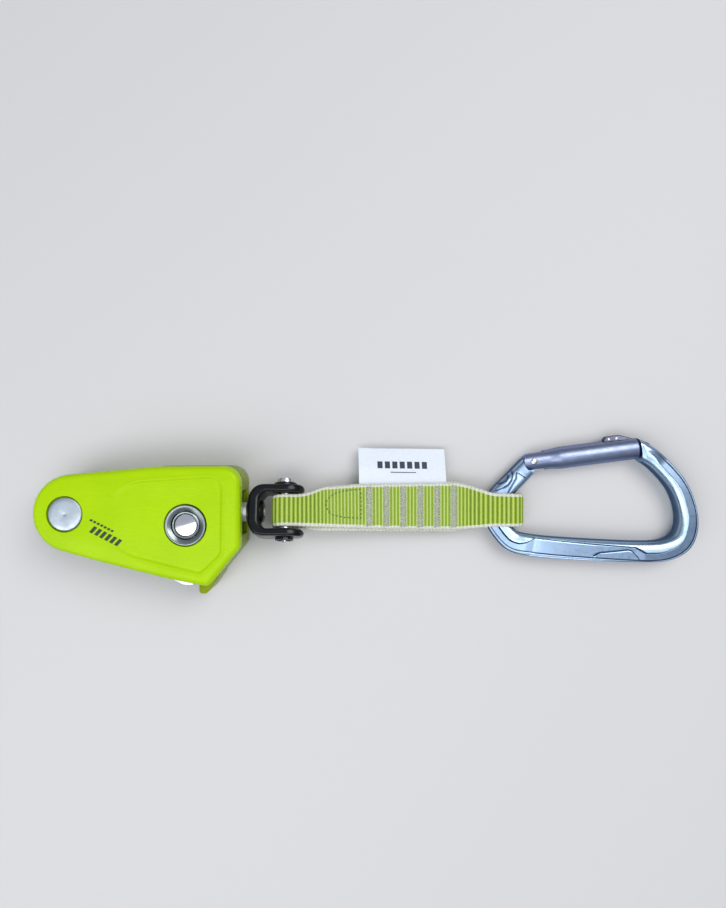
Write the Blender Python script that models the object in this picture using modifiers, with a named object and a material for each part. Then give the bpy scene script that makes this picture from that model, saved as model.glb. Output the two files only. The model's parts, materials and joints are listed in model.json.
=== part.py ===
"""A climbing draw with a rope-braking device: two-shell braking housing, swivel fork, sewn sling and carabiner.

It lies flat as it would on a table: +X runs from the housing to the carabiner, +Z is up.
Run it with: blender --background --python part.py
"""

import math

import bmesh
import bpy
from mathutils import Matrix, Vector
from mathutils.geometry import convex_hull_2d

MM = 0.001
GAP = 0.3 * MM  # clearance between pieces that rest on each other

# Driving dimensions of the whole
HOUSING_HEIGHT = 28 * MM
ROPE_CHANNEL = 13.4 * MM  # free height between the two shells, for ropes up to 11 mm
PIVOT = Vector((-131.22, 0.93, 0)) * MM  # axis of the rivet that the front shell swings on
LOCK = Vector((50.8, -4.7, 0)) * MM  # the lock's axis, from the pivot
AXIS_HEIGHT = HOUSING_HEIGHT / 2  # the swivel runs through the middle of the housing
FORK_FACE = Vector((-55.42, 0.93, 14)) * MM  # outer face of the fork's crown, on the swivel axis
FORK_ROLL = math.radians(-14)
PIN_REACH = 15.6 * MM  # from the crown's outer face to the fork pin
BAR_HEIGHT = 5.9 * MM  # middle plane of the carabiner
CARABINER = Vector((68.28, 0.63, 5.9)) * MM  # centre of the carabiner's narrow bend
GATE_RIVET = Vector((2.6, 22.4, 0)) * MM  # from that centre
GATE_ANGLE = math.radians(7.4)
GATE_SWING = math.radians(28)  # how far it opens inwards

# The housing's outline, as discs (x, y, radius) from the pivot whose hull it is
SHELL_DISCS = [(2.7, 0.3, 16.2), (38, 9.6, 10.5), (66.4, 12.9, 7.4), (69.7, -12.6, 3.8), (58.5, -26.9, 3.4)]
TOOTH_DISCS = [(56.2, -34.6, 1.2), (54.9, -34.4, 1.2), (54.9, -24, 1.2), (62, -22, 2), (60.6, -26.4, 2)]
PANEL_DISCS = [(36, -2, 15.6), (60.2, 10.2, 5), (61.3, -14.6, 4), (56.2, -20, 4)]
SHELL_WALL = 2.6 * MM
PLATE_INSET = 2.4 * MM
PLATE_THICKNESS = 2 * MM
POCKET_DEPTH = 2.5 * MM
BACK_RIM = 7.2 * MM
COVER_RIM = HOUSING_HEIGHT - BACK_RIM + 0.1 * MM
WALL_TOP = COVER_RIM - 0.4 * MM
SEAT_WIDTH = 19.4 * MM  # notch in the end wall that the swivel sits in

# Pivot, lock and brake
PIVOT_SHAFT_R = 4 * MM
DISC_R = 7.05 * MM
DISC_RECESS_R = 7.7 * MM
POST_R = 4.5 * MM
COLLAR_R = 8.7 * MM
COLLAR_BARREL_R = 7.2 * MM
COLLAR_BORE_R = 6.2 * MM
BUTTON_R = 4.7 * MM
NOSE_R = 2.2 * MM
NOSE_BORE_R = 2.6 * MM
JAW_OUTLINE = [(41.2, -25.6), (45, -29.4), (53, -29.4), (53, -17.2), (41.2, -17.2)]
JAW_HEIGHT = 3.4 * MM
JAW_SLOPE = 0.16
JAW_RIVETS = [(44.6, -20.2), (50, -25.4)]

# Swivel and fork
SWIVEL_R = 4.2 * MM
FORK_WIDTH = 23 * MM
FORK_GAP = 16 * MM
FORK_CROWN = 5.4 * MM
FORK_DEPTH = 14 * MM
PIN_R = 3 * MM
PIN_HEAD_R = 5 * MM

# Sling: 20 mm webbing, four layers where it is sewn
WEB_THICKNESS = 1.8 * MM
SEWN_THICKNESS = 4.4 * MM
SLING_LOW_EDGE = -7.05 * MM
SLING_HIGH_EDGE = 7.05 * MM
SLING_BULGE = 5.4 * MM  # how far the upper edge stands out in the sewn part
SLING_SAG = 1.2 * MM  # and the lower edge
SLING_END = 80.2 * MM  # from the pin to the line where the webbing flexes
EYE_LENGTH = 25.4 * MM
EYE_HALF_HEIGHT = 5.8 * MM

# Label
LABEL_WIDTH = 39.2 * MM
LABEL_REACH = 16.6 * MM
LABEL_PLACE = 52.5 * MM  # its middle, from the pin along the sling
LABEL_THICKNESS = 0.9 * MM
LABEL_SLOPE = math.radians(-22)

# Carabiner: centreline (x, y, bar width, bar height) from the centre of the narrow bend
BEND_R = 14.2
BAR_STATIONS = (
    [(1.6, 21.8, 8.6, 10.6), (-3.5, 16.4, 8.8, 10.4), (-8.4, 11.4, 8.9, 7.7)]
    + [
        (BEND_R * math.cos(math.radians(a)), BEND_R * math.sin(math.radians(a)), 9.2, 7.6)
        for a in (150, 165, 180, 195, 210)
    ]
    + [(-6.9, -13.0, 9.6, 7.7), (0, -15, 9.8, 10), (10, -16.2, 9.8, 11)]
    + [(30, -17.4, 9.7, 11), (50, -18.1, 9.5, 11), (61.4, -17.5, 9.9, 11)]
    + [(68.9, -13.8, 10, 11), (71.8, -6.8, 9.5, 11), (71.2, 2, 8.8, 11)]
    + [(67, 12.2, 8.4, 11), (58.2, 22.1, 8.2, 10.8), (51.1, 27, 8.8, 10.6), (43.5, 30.6, 9, 10.4)]
)
SECTION_SIDES = 10
GATE_LENGTH = 47.4 * MM  # from its rivet to its end
GATE_R = 4.95 * MM
GATE_END_R = 4.3 * MM
TAB_THICKNESS = 3.6 * MM
TAB_SLOT = 4.2 * MM
PLUNGER_R = 1.8 * MM
SPRING_WIRE_R = 0.3 * MM

CIRCLE_STEPS = 24


# ---------------------------------------------------------------- helpers


def clear_scene():
    for thing in list(bpy.data.objects):
        bpy.data.objects.remove(thing)


def new_collection(name):
    made = bpy.data.collections.new(name)
    bpy.context.scene.collection.children.link(made)
    return made


def material(name, colour, roughness, metallic=0.0):
    made = bpy.data.materials.new(name)
    made.use_nodes = True
    shader = made.node_tree.nodes["Principled BSDF"]
    shader.inputs["Base Color"].default_value = (*colour, 1)
    shader.inputs["Roughness"].default_value = roughness
    shader.inputs["Metallic"].default_value = metallic
    made.diffuse_color = (*colour, 1)
    return made


def frame(name, parent=None, location=(0, 0, 0), turn=(0, 0, 0)):
    """An empty at a body's joint, which its parts are parented to."""
    empty = bpy.data.objects.new(name, None)
    empty.location = location
    empty.rotation_euler = turn
    empty.parent = parent
    empty.empty_display_size = 5 * MM
    PARTS.objects.link(empty)
    return empty


def placed(obj, parent=None, finish=None, location=(0, 0, 0), turn=(0, 0, 0)):
    """Links an object into the assembly with its parent, place and material."""
    if obj.name not in PARTS.objects:
        PARTS.objects.link(obj)
    obj.parent = parent
    obj.location = location
    obj.rotation_euler = turn
    if finish:
        obj.data.materials.clear()
        obj.data.materials.append(finish)
    return obj


def disc_hull(discs, shrink=0.0, scale=MM):
    """The outline round a set of discs (x, y, radius), drawn in by shrink."""
    points = []
    for x, y, radius in discs:
        for step in range(CIRCLE_STEPS):
            angle = math.tau * step / CIRCLE_STEPS
            reach = radius * scale - shrink
            points.append(Vector((x * scale + reach * math.cos(angle), y * scale + reach * math.sin(angle))))
    return [points[index] for index in convex_hull_2d(points)]


def circle(centre, radius, steps=CIRCLE_STEPS):
    angles = [math.tau * step / steps for step in range(steps)]
    return [(centre[0] + radius * math.cos(a), centre[1] + radius * math.sin(a)) for a in angles]


def meshed(curve_object, cleaned=True):
    """Turns a curve object into a welded mesh object, by default without points on straight edges."""
    PARTS.objects.link(curve_object)
    bpy.context.view_layer.update()
    graph = bpy.context.evaluated_depsgraph_get()
    mesh = bpy.data.meshes.new_from_object(curve_object.evaluated_get(graph))
    name = curve_object.name
    matrix = curve_object.matrix_world.copy()
    bpy.data.objects.remove(curve_object)
    shape = bmesh.new()
    shape.from_mesh(mesh)
    bmesh.ops.remove_doubles(shape, verts=shape.verts, dist=0.001 * MM)
    if cleaned:
        bmesh.ops.dissolve_limit(shape, angle_limit=0.002, verts=shape.verts, edges=shape.edges)
    shape.to_mesh(mesh)
    shape.free()
    mesh.materials.clear()
    made = bpy.data.objects.new(name, mesh)
    made.matrix_world = matrix
    PARTS.objects.link(made)
    return made


def prism(name, outlines, low, high, cleaned=True):
    """Extrudes flat outlines along Z; an outline inside another is a hole."""
    curve = bpy.data.curves.new(name, "CURVE")
    curve.dimensions = "2D"
    curve.fill_mode = "BOTH"
    curve.extrude = (high - low) / 2
    for outline in outlines:
        spline = curve.splines.new("POLY")
        spline.points.add(len(outline) - 1)
        for point, (x, y) in zip(spline.points, outline):
            point.co = (x, y, 0, 1)
        spline.use_cyclic_u = True
    made = meshed(bpy.data.objects.new(name, curve), cleaned)
    made.data.transform(Matrix.Translation((0, 0, (low + high) / 2)))
    return made


def block(name, low, high):
    """A box between two corners."""
    bpy.ops.mesh.primitive_cube_add(size=1)
    made = bpy.context.object
    made.name = name
    size = Vector(high) - Vector(low)
    middle = (Vector(high) + Vector(low)) / 2
    made.data.transform(Matrix.Translation(middle) @ Matrix.Diagonal((*size, 1)))
    move_to_parts(made)
    return made


def move_to_parts(obj):
    for collection in list(obj.users_collection):
        collection.objects.unlink(obj)
    PARTS.objects.link(obj)


def turned(name, profile, steps=CIRCLE_STEPS, closed=False):
    """Turns a profile of (radius, height) round Z. It runs down its outer side, top to bottom."""
    mesh = bpy.data.meshes.new(name)
    count = len(profile)
    edges = [(i, i + 1) for i in range(count - 1)] + ([(count - 1, 0)] if closed else [])
    mesh.from_pydata([(radius, 0, height) for radius, height in profile], edges, [])
    made = bpy.data.objects.new(name, mesh)
    PARTS.objects.link(made)
    screw = made.modifiers.new("turn", "SCREW")
    screw.steps = steps
    screw.render_steps = steps
    screw.use_merge_vertices = True
    screw.merge_threshold = 0.00001
    screw.use_smooth_shade = False
    return made


def ring(name, inner, outer, low, high, steps=CIRCLE_STEPS):
    return turned(name, [(outer, high), (outer, low), (inner, low), (inner, high)], steps, closed=True)


def rod(name, radius, low, high, steps=CIRCLE_STEPS):
    return turned(name, [(0, high), (radius, high), (radius, low), (0, low)], steps)


def applied(obj):
    """Applies an object's modifiers, so that its mesh is what it shows."""
    bpy.context.view_layer.update()
    graph = bpy.context.evaluated_depsgraph_get()
    mesh = bpy.data.meshes.new_from_object(obj.evaluated_get(graph))
    obj.modifiers.clear()
    obj.data = mesh
    return obj


def turn_about(obj, axis, degrees):
    """Turns an object's own mesh, with any modifier applied first."""
    applied(obj)
    obj.data.transform(Matrix.Rotation(math.radians(degrees), 4, axis))
    return obj


def boolean(target, other, operation="DIFFERENCE"):
    """Cuts target with other, or joins or intersects them, and keeps other as a hidden cutter."""
    for collection in list(other.users_collection):
        collection.objects.unlink(other)
    CUTTERS.objects.link(other)
    other.hide_render = True
    other.display_type = "WIRE"
    other.parent = target.parent
    step = target.modifiers.new(operation.lower(), "BOOLEAN")
    step.operation = operation
    step.solver = "EXACT"
    step.object = other
    return target


def bevelled(obj, width, segments=2, angle=40):
    step = obj.modifiers.new("round edges", "BEVEL")
    step.width = width
    step.segments = segments
    step.limit_method = "ANGLE"
    step.angle_limit = math.radians(angle)
    return obj


def smooth(obj, degrees=35):
    obj.data.shade_smooth()
    obj.data.set_sharp_from_angle(angle=math.radians(degrees))
    return obj


def coil(name, radius, wire_radius, low, high, turns, parent, finish):
    """A compression spring along Z."""
    curve = bpy.data.curves.new(name, "CURVE")
    curve.dimensions = "3D"
    curve.bevel_depth = wire_radius
    curve.bevel_resolution = 0
    curve.use_fill_caps = True
    per_turn = 9
    count = int(turns * per_turn) + 1
    spline = curve.splines.new("POLY")
    spline.points.add(count - 1)
    for index, point in enumerate(spline.points):
        angle = math.tau * index / per_turn
        height = low + (high - low) * index / (count - 1)
        point.co = (radius * math.cos(angle), radius * math.sin(angle), height, 1)
    return placed(bpy.data.objects.new(name, curve), parent, finish)


def blend_between(value, low, high):
    """0 below low, 1 above high, and a smooth rise between."""
    share = min(1.0, max(0.0, (value - low) / (high - low)))
    return share * share * (3 - 2 * share)


# ---------------------------------------------------------------- housing


def build_shells(housing, cover):
    outline = disc_hull(SHELL_DISCS)
    inner = disc_hull(SHELL_DISCS, shrink=SHELL_WALL)
    pocket = disc_hull(SHELL_DISCS, shrink=PLATE_INSET - GAP)

    back = prism("back_shell", [outline], 0, WALL_TOP)
    placed(back, housing, LIME)
    bevelled(back, 1.6 * MM)
    tooth = prism("tooth_cutter", [disc_hull(TOOTH_DISCS)], 1.2 * MM, WALL_TOP)
    boolean(back, tooth, "UNION")
    channel_top = WALL_TOP + MM
    boolean(back, prism("channel_cutter", [inner], BACK_RIM, channel_top))
    boolean(back, block("open_side_cutter", (-20 * MM, -50 * MM, BACK_RIM), (53.5 * MM, 50 * MM, channel_top)))
    boolean(back, block("open_top_cutter", (50 * MM, 0, BACK_RIM), (62 * MM, 50 * MM, channel_top)))
    boolean(back, prism("back_pocket_cutter", [pocket], BACK_RIM - POCKET_DEPTH, BACK_RIM + MM))
    seat = ((60 * MM, -SEAT_WIDTH / 2, BACK_RIM - 0.4 * MM), (80 * MM, SEAT_WIDTH / 2, channel_top))
    boolean(back, block("seat_cutter", *seat))
    boolean(back, rod("back_pivot_bore", 5.9 * MM, -MM, 10 * MM))
    boolean(back, rod("back_pivot_recess", DISC_RECESS_R, -MM, 2.4 * MM))
    for name, radius, high in (("post_bore", POST_R + GAP, 10 * MM), ("post_recess", DISC_RECESS_R, 2.4 * MM)):
        cutter = rod(name, radius, -MM, high)
        cutter.location = LOCK
        boolean(back, cutter)

    # made taller than it is, so that cutting it to the rim leaves only its upper edge rounded
    front = prism("front_shell", [outline], COVER_RIM - 4 * MM, HOUSING_HEIGHT)
    placed(front, cover, LIME)
    bevelled(front, 2.2 * MM, segments=3)
    boolean(front, block("cover_rim_cutter", (-30 * MM, -60 * MM, 0), (90 * MM, 60 * MM, COVER_RIM)))
    boolean(front, prism("cover_pocket_cutter", [pocket], 0, COVER_RIM + POCKET_DEPTH))
    panel = disc_hull(PANEL_DISCS)
    boolean(front, prism("panel_cutter", [panel], HOUSING_HEIGHT - 0.5 * MM, HOUSING_HEIGHT + MM))
    boolean(front, rod("cover_pivot_bore", PIVOT_SHAFT_R + GAP, 10 * MM, 40 * MM))
    boolean(front, rod("cover_disc_recess", DISC_RECESS_R, 25.6 * MM, 40 * MM))
    for name, radius, low in (("collar_bore", COLLAR_BARREL_R + GAP, 10), ("collar_recess", COLLAR_R + GAP, 25.6)):
        cutter = rod(name, radius, low * MM, 40 * MM)
        cutter.location = LOCK
        boolean(front, cutter)


def build_plates(housing, cover):
    outline = disc_hull(SHELL_DISCS, shrink=PLATE_INSET)
    pivot_hole = circle((0, 0), 5.9 * MM)
    post_hole = circle(LOCK.xy, POST_R + GAP)
    back_low = BACK_RIM - POCKET_DEPTH + GAP
    back = prism("back_plate", [outline, pivot_hole, post_hole], back_low, back_low + PLATE_THICKNESS)
    placed(back, housing, STEEL)
    shaft_hole = circle((0, 0), PIVOT_SHAFT_R + GAP)
    collar_hole = circle(LOCK.xy, COLLAR_BARREL_R + GAP)
    front_low = COVER_RIM + 0.2 * MM
    front = prism("front_plate", [outline, shaft_hole, collar_hole], front_low, front_low + PLATE_THICKNESS)
    placed(front, cover, STEEL)


def build_pivot(housing):
    top = HOUSING_HEIGHT - 0.1 * MM
    under_head = 25.9 * MM
    bolt = [(0, top), (DISC_R - 0.5 * MM, top - 0.1 * MM), (DISC_R, top - 0.5 * MM), (DISC_R, under_head)]
    bolt += [(PIVOT_SHAFT_R, under_head), (PIVOT_SHAFT_R, 3.8 * MM), (0, 3.8 * MM)]
    placed(smooth(turned("pivot_bolt", bolt)), housing, STEEL)
    bore = PIVOT_SHAFT_R + GAP
    nut = [(0, 3.4 * MM), (bore, 3.4 * MM), (bore, BACK_RIM), (5.6 * MM, BACK_RIM), (5.6 * MM, 2.1 * MM)]
    nut += [(DISC_R, 2.1 * MM), (DISC_R, 0.6 * MM), (DISC_R - 0.4 * MM, 0.3 * MM), (0, 0.3 * MM)]
    placed(smooth(turned("pivot_nut", nut)), housing, STEEL)
    placed(smooth(ring("pivot_spacer", bore, 6.5 * MM, BACK_RIM + GAP, 20.1 * MM)), housing, STEEL)
    placed(smooth(ring("pivot_washer", bore, 6.5 * MM, 20.4 * MM, 20.8 * MM)), housing, BRASS)


def build_lock(housing, cover):
    post_top = 20.3 * MM
    post = [(0, 17 * MM), (NOSE_BORE_R, 17 * MM), (NOSE_BORE_R, post_top), (POST_R, post_top)]
    post += [(POST_R, 2.1 * MM), (DISC_R, 2.1 * MM), (DISC_R, 0.6 * MM), (DISC_R - 0.4 * MM, 0.3 * MM), (0, 0.3 * MM)]
    placed(smooth(turned("lock_post", post)), housing, STEEL, LOCK)
    groove = [(9.6, 20.3), (9.6, 18.6), (8, 15.6), (8, 12.2), (9.6, 9.2), (9.6, 7.5), (4.8, 7.5), (4.8, 20.3)]
    bollard = [(radius * MM, height * MM) for radius, height in groove]
    placed(smooth(turned("rope_bollard", bollard, closed=True)), housing, STEEL, LOCK)

    top = HOUSING_HEIGHT - 0.1 * MM
    seat = 25.9 * MM
    low = COVER_RIM + 0.1 * MM
    collar = [(COLLAR_BORE_R, top - 0.9 * MM), (COLLAR_R - 0.7 * MM, top), (COLLAR_R, top - 0.3 * MM)]
    collar += [(COLLAR_R, seat), (COLLAR_BARREL_R, seat), (COLLAR_BARREL_R, low), (NOSE_BORE_R, low)]
    collar += [(NOSE_BORE_R, low + MM), (COLLAR_BORE_R, low + MM)]
    placed(smooth(turned("lock_collar", collar, closed=True)), cover, STEEL, LOCK)
    sleeve = ring("lock_sleeve", BUTTON_R + 0.25 * MM, COLLAR_BORE_R - GAP, low + 1.3 * MM, top - 0.9 * MM)
    placed(smooth(sleeve), cover, STEEL, LOCK)

    button_frame = frame("button_axis", cover, LOCK)
    face = 26.7 * MM
    button = [(0, face), (BUTTON_R - 0.3 * MM, face), (BUTTON_R, face - 0.3 * MM), (BUTTON_R, 25.2 * MM)]
    button += [(NOSE_R, 25.2 * MM), (NOSE_R, 21.1 * MM), (NOSE_R - 0.5 * MM, 20.7 * MM), (0, 20.7 * MM)]
    placed(smooth(turned("lock_button", button)), button_frame, STEEL)
    spring = coil("lock_spring", 3.55 * MM, SPRING_WIRE_R, 22.7 * MM, 24.7 * MM, 2.2, cover, STEEL)
    spring.location = LOCK


def build_jaws(housing, cover):
    """Two steel jaws whose slanting faces make the wedge that brakes the rope."""
    outline = [(x * MM, y * MM) for x, y in JAW_OUTLINE]
    mouth = min(y for _, y in outline)
    back_face = BACK_RIM - POCKET_DEPTH + GAP + PLATE_THICKNESS + GAP
    front_face = COVER_RIM + 0.2 * MM - GAP
    for name, parent, base, way in (
        ("brake_jaw_back", housing, back_face, 1),
        ("brake_jaw_front", cover, front_face, -1),
    ):
        low, high = sorted((base, base + way * JAW_HEIGHT))
        jaw = prism(name, [outline], low, high)
        inner_face = high if way > 0 else low
        for vertex in jaw.data.vertices:
            if abs(vertex.co.z - inner_face) < 0.01 * MM:
                vertex.co.z += way * (vertex.co.y - mouth) * JAW_SLOPE - way * MM
        placed(jaw, parent, STEEL)
        for number, (x, y) in enumerate(JAW_RIVETS, 1):
            cut = rod(f"{name}_bore_{number}", 1.5 * MM, base - 6 * MM, base + 9 * MM, 12)
            cut.location = (x * MM, y * MM, 0)
            boolean(jaw, cut)
            rivet_low, rivet_high = sorted((base + way * 0.1 * MM, base + way * 2.3 * MM))
            rivet = rod(f"{name}_rivet_{number}", 1.2 * MM, rivet_low, rivet_high, 12)
            placed(smooth(rivet), parent, STEEL, (x * MM, y * MM, 0))


# ---------------------------------------------------------------- swivel


def build_swivel(housing, fork_frame):
    """The block sits in the housing's end wall; the shaft turns in it and carries the fork."""
    low, high = BACK_RIM + GAP, WALL_TOP - GAP
    seat_y = SEAT_WIDTH / 2 - GAP
    block_right = 72.2 * MM
    body = block("swivel_block", (61 * MM, -seat_y, low), (block_right, seat_y, high))
    placed(body, housing, DARK_STEEL)
    bevelled(body, 0.8 * MM)
    for name, radius, start, end in (
        ("shaft_bore", SWIVEL_R + GAP, 60 * MM, 80 * MM),
        ("shaft_head_pocket", 5.6 * MM, 50 * MM, 64.5 * MM),
    ):
        bore = turn_about(rod(name, radius, start, end), "Y", 90)
        bore.location = (0, 0, AXIS_HEIGHT)
        boolean(body, bore)

    crown = FORK_FACE.x - PIVOT.x
    head_left, head_right = 61.2 * MM - crown, 64.2 * MM - crown
    neck_end = -0.9 * MM
    tail_r = 2.6 * MM
    tail_end = FORK_CROWN + 1.3 * MM
    shaft = [(0, tail_end), (tail_r - 0.7 * MM, tail_end), (tail_r, tail_end - 0.6 * MM), (tail_r, neck_end)]
    shaft += [(SWIVEL_R, neck_end), (SWIVEL_R, head_right), (5.2 * MM, head_right), (5.2 * MM, head_left)]
    shaft += [(0, head_left)]
    made = turn_about(turned("swivel_shaft", shaft), "Y", 90)
    placed(smooth(made), fork_frame, STEEL)
    washer = turn_about(ring("swivel_washer", tail_r + GAP, 5 * MM, neck_end + GAP - 0.1 * MM, -GAP + 0.1 * MM), "Y", 90)
    placed(smooth(washer), fork_frame, DARK_STEEL)
    return tail_r


def build_fork(fork_frame, tail_r):
    half, gap = FORK_WIDTH / 2, FORK_GAP / 2
    tip = PIN_REACH + 8.9 * MM
    corner = 6 * MM
    outer = [(tip, -half + 1.6 * MM), (tip, -gap), (FORK_CROWN + 2 * MM, -gap), (FORK_CROWN, -gap + 2 * MM)]
    outer += [(FORK_CROWN, gap - 2 * MM), (FORK_CROWN + 2 * MM, gap), (tip, gap), (tip, half - 1.6 * MM)]
    outer += [(PIN_REACH + 3 * MM, half)]
    arc = [math.radians(90 + 15 * step) for step in range(7)]
    outer += [(corner + corner * math.cos(a), half - corner + corner * math.sin(a)) for a in arc]
    outer += [(corner + corner * math.cos(a), corner - half - corner * math.sin(a)) for a in reversed(arc)]
    outer += [(PIN_REACH + 3 * MM, -half)]
    fork = prism("fork", [outer], -10 * MM, 10 * MM)
    placed(fork, fork_frame, BLACK)
    deep = FORK_DEPTH / 2 / MM
    side = disc_hull([(deep - 1.6, 0, deep - 1), (PIN_REACH / MM, 0, deep), (PIN_REACH / MM + 3.2, 0, 5.2)])
    side = [(max(x, 0), z) for x, z in side]
    leg_shape = prism("fork_side_cutter", [side], -20 * MM, 20 * MM)
    turn_about(leg_shape, "X", 90)
    boolean(fork, leg_shape, "INTERSECT")
    boolean(fork, turn_about(rod("fork_shaft_bore", tail_r + GAP, -5 * MM, 12 * MM), "Y", 90))
    pin_bore = turn_about(rod("fork_pin_bore", PIN_R + GAP, -20 * MM, 20 * MM), "X", 90)
    pin_bore.location = (PIN_REACH, 0, 0)
    boolean(fork, pin_bore)

    head = half + GAP
    pin = [(0, head + 1.7 * MM), (PIN_HEAD_R - 1.4 * MM, head + 1.7 * MM), (PIN_HEAD_R, head + 0.7 * MM)]
    pin += [(PIN_HEAD_R, head), (PIN_R, head), (PIN_R, -half - 1.5 * MM), (0, -half - 1.5 * MM)]
    pin_object = turn_about(turned("fork_pin", pin), "X", -90)
    placed(smooth(pin_object), fork_frame, STEEL, (PIN_REACH, 0, 0))
    clip = turn_about(ring("fork_pin_clip", PIN_R + 0.2 * MM, 4 * MM, -half - 1.2 * MM, -half - 0.3 * MM), "X", -90)
    placed(smooth(clip), fork_frame, STEEL, (PIN_REACH, 0, 0))


# ---------------------------------------------------------------- sling and label


def spread_webbing(piece, start, frame_roll):
    """Gives a flat-sided webbing solid its plan shape: a straight lower edge and a bulging upper one.

    start is how far the piece's own origin lies from the pin, and frame_roll how far the roll runs.
    """
    for vertex in piece.data.vertices:
        along = vertex.co.x + start
        bulge = blend_between(along, 11 * MM, 34 * MM) * (1 - blend_between(along, 74 * MM, 95 * MM))
        high, low = SLING_HIGH_EDGE + SLING_BULGE * bulge, SLING_LOW_EDGE - SLING_SAG * bulge
        vertex.co.y = high if vertex.co.y > 0 else low
        roll = frame_roll * (1 - blend_between(along, 6 * MM, 60 * MM))
        across, up = vertex.co.y, vertex.co.z
        vertex.co.y = across * math.cos(roll) - up * math.sin(roll)
        vertex.co.z = across * math.sin(roll) + up * math.cos(roll)


def build_sling(sling_frame, eye_frame):
    half = SEWN_THICKNESS / 2
    outer_r = PIN_R + GAP + WEB_THICKNESS
    stations = [9 + 5.9 * step for step in range(13)]
    thickness = [half + (outer_r - half) * (1 - blend_between(x, 2, 20)) for x in stations]
    upper = [(x * MM, z) for x, z in zip(stations, thickness)]
    fold = [math.radians(75 + 21 * step) for step in range(11)]
    outline = [(outer_r * math.cos(a), outer_r * math.sin(a)) for a in fold]
    outline += [(x, -z) for x, z in upper]
    round_end = [math.radians(-90 + 30 * step) for step in range(7)]
    outline += [(SLING_END + half * math.cos(a), half * math.sin(a)) for a in round_end]
    outline += upper[::-1]
    sling = prism("sling", [outline, circle((0, 0), PIN_R + GAP, 16)], -10 * MM, 10 * MM, cleaned=False)
    turn_about(sling, "X", 90)
    spread_webbing(sling, 0, FORK_ROLL)
    placed(smooth(sling), sling_frame, WEBBING)

    drop = BAR_HEIGHT - FLEX_Z
    fold_x = EYE_LENGTH - EYE_HALF_HEIGHT
    swell = 9.5 * MM  # where the two layers have parted to the bar's full height
    inner_half = EYE_HALF_HEIGHT - WEB_THICKNESS + 0.1 * MM
    fold = [math.radians(-90 + 20 * step) for step in range(10)]
    root = half + GAP
    outer = [(root, -half), (swell, drop - EYE_HALF_HEIGHT)]
    outer += [(fold_x + EYE_HALF_HEIGHT * math.cos(a), drop + EYE_HALF_HEIGHT * math.sin(a)) for a in fold]
    outer += [(swell, drop + EYE_HALF_HEIGHT), (root, half)]
    inner = [(root + 1.4 * MM, drop * 0.4), (swell + 0.4 * MM, drop - inner_half)]
    inner += [(fold_x + inner_half * math.cos(a), drop + inner_half * math.sin(a)) for a in fold]
    inner += [(swell + 0.4 * MM, drop + inner_half)]
    eye = prism("sling_eye", [outer, inner], -10 * MM, 10 * MM, cleaned=False)
    turn_about(eye, "X", 90)
    spread_webbing(eye, SLING_END, 0)
    placed(smooth(eye), eye_frame, WEBBING)


def build_label(label_frame):
    low = (-LABEL_WIDTH / 2, GAP * 3, -LABEL_THICKNESS / 2)
    high = (LABEL_WIDTH / 2, LABEL_REACH, LABEL_THICKNESS / 2)
    placed(block("label", low, high), label_frame, WHITE)


# ---------------------------------------------------------------- carabiner


def smooth_path(stations, per_gap):
    """Points on a Catmull-Rom curve through the stations, with their widths and heights."""
    points = [Vector(station) for station in stations]
    points = [points[0] * 2 - points[1]] + points + [points[-1] * 2 - points[-2]]
    path = []
    for i in range(1, len(points) - 2):
        before, start, end, after = points[i - 1 : i + 3]
        for step in range(per_gap):
            t = step / per_gap
            path.append(
                0.5 * (2 * start + (end - before) * t + (2 * before - 5 * start + 4 * end - after) * t**2)
                + 0.5 * (3 * start - before - 3 * end + after) * t**3
            )
    return path + [points[-2]]


def bar_section(width, height):
    """A rounded section with ten sides, as (across, up)."""
    corners = []
    for side in range(SECTION_SIDES):
        angle = math.tau * (side + 0.5) / SECTION_SIDES
        across, up = math.cos(angle), math.sin(angle)
        across = math.copysign(abs(across) ** 0.8, across) * width / 2
        up = math.copysign(abs(up) ** 0.8, up) * height / 2
        corners.append((across, up))
    return corners


def build_bar(carabiner):
    """The forged bar: a loft whose section changes along the centreline."""
    path = smooth_path(BAR_STATIONS, 3)
    shape = bmesh.new()
    rings = []
    for index, (x, y, width, height) in enumerate(path):
        before, after = path[max(index - 1, 0)], path[min(index + 1, len(path) - 1)]
        along = Vector((after[0] - before[0], after[1] - before[1])).normalized()
        side = Vector((-along.y, along.x))
        corners = [(x + side.x * a, y + side.y * a, u) for a, u in bar_section(width, height)]
        rings.append([shape.verts.new(Vector(corner) * MM) for corner in corners])
    for first, second in zip(rings, rings[1:]):
        for k in range(SECTION_SIDES):
            following = (k + 1) % SECTION_SIDES
            shape.faces.new((first[k], first[following], second[following], second[k]))
    shape.faces.new(rings[0][::-1])
    shape.faces.new(rings[-1])
    bmesh.ops.recalc_face_normals(shape, faces=shape.faces)
    mesh = bpy.data.meshes.new("carabiner_body")
    shape.to_mesh(mesh)
    shape.free()
    bar = bpy.data.objects.new("carabiner_body", mesh)
    return placed(bar, carabiner, BLUE_GREY)


def in_gate_frame(cutter):
    """Moves a cutter built along the gate to where the gate lies, as the carabiner sees it."""
    cutter.location = GATE_RIVET
    cutter.rotation_euler = (0, 0, GATE_ANGLE)
    return cutter


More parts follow.
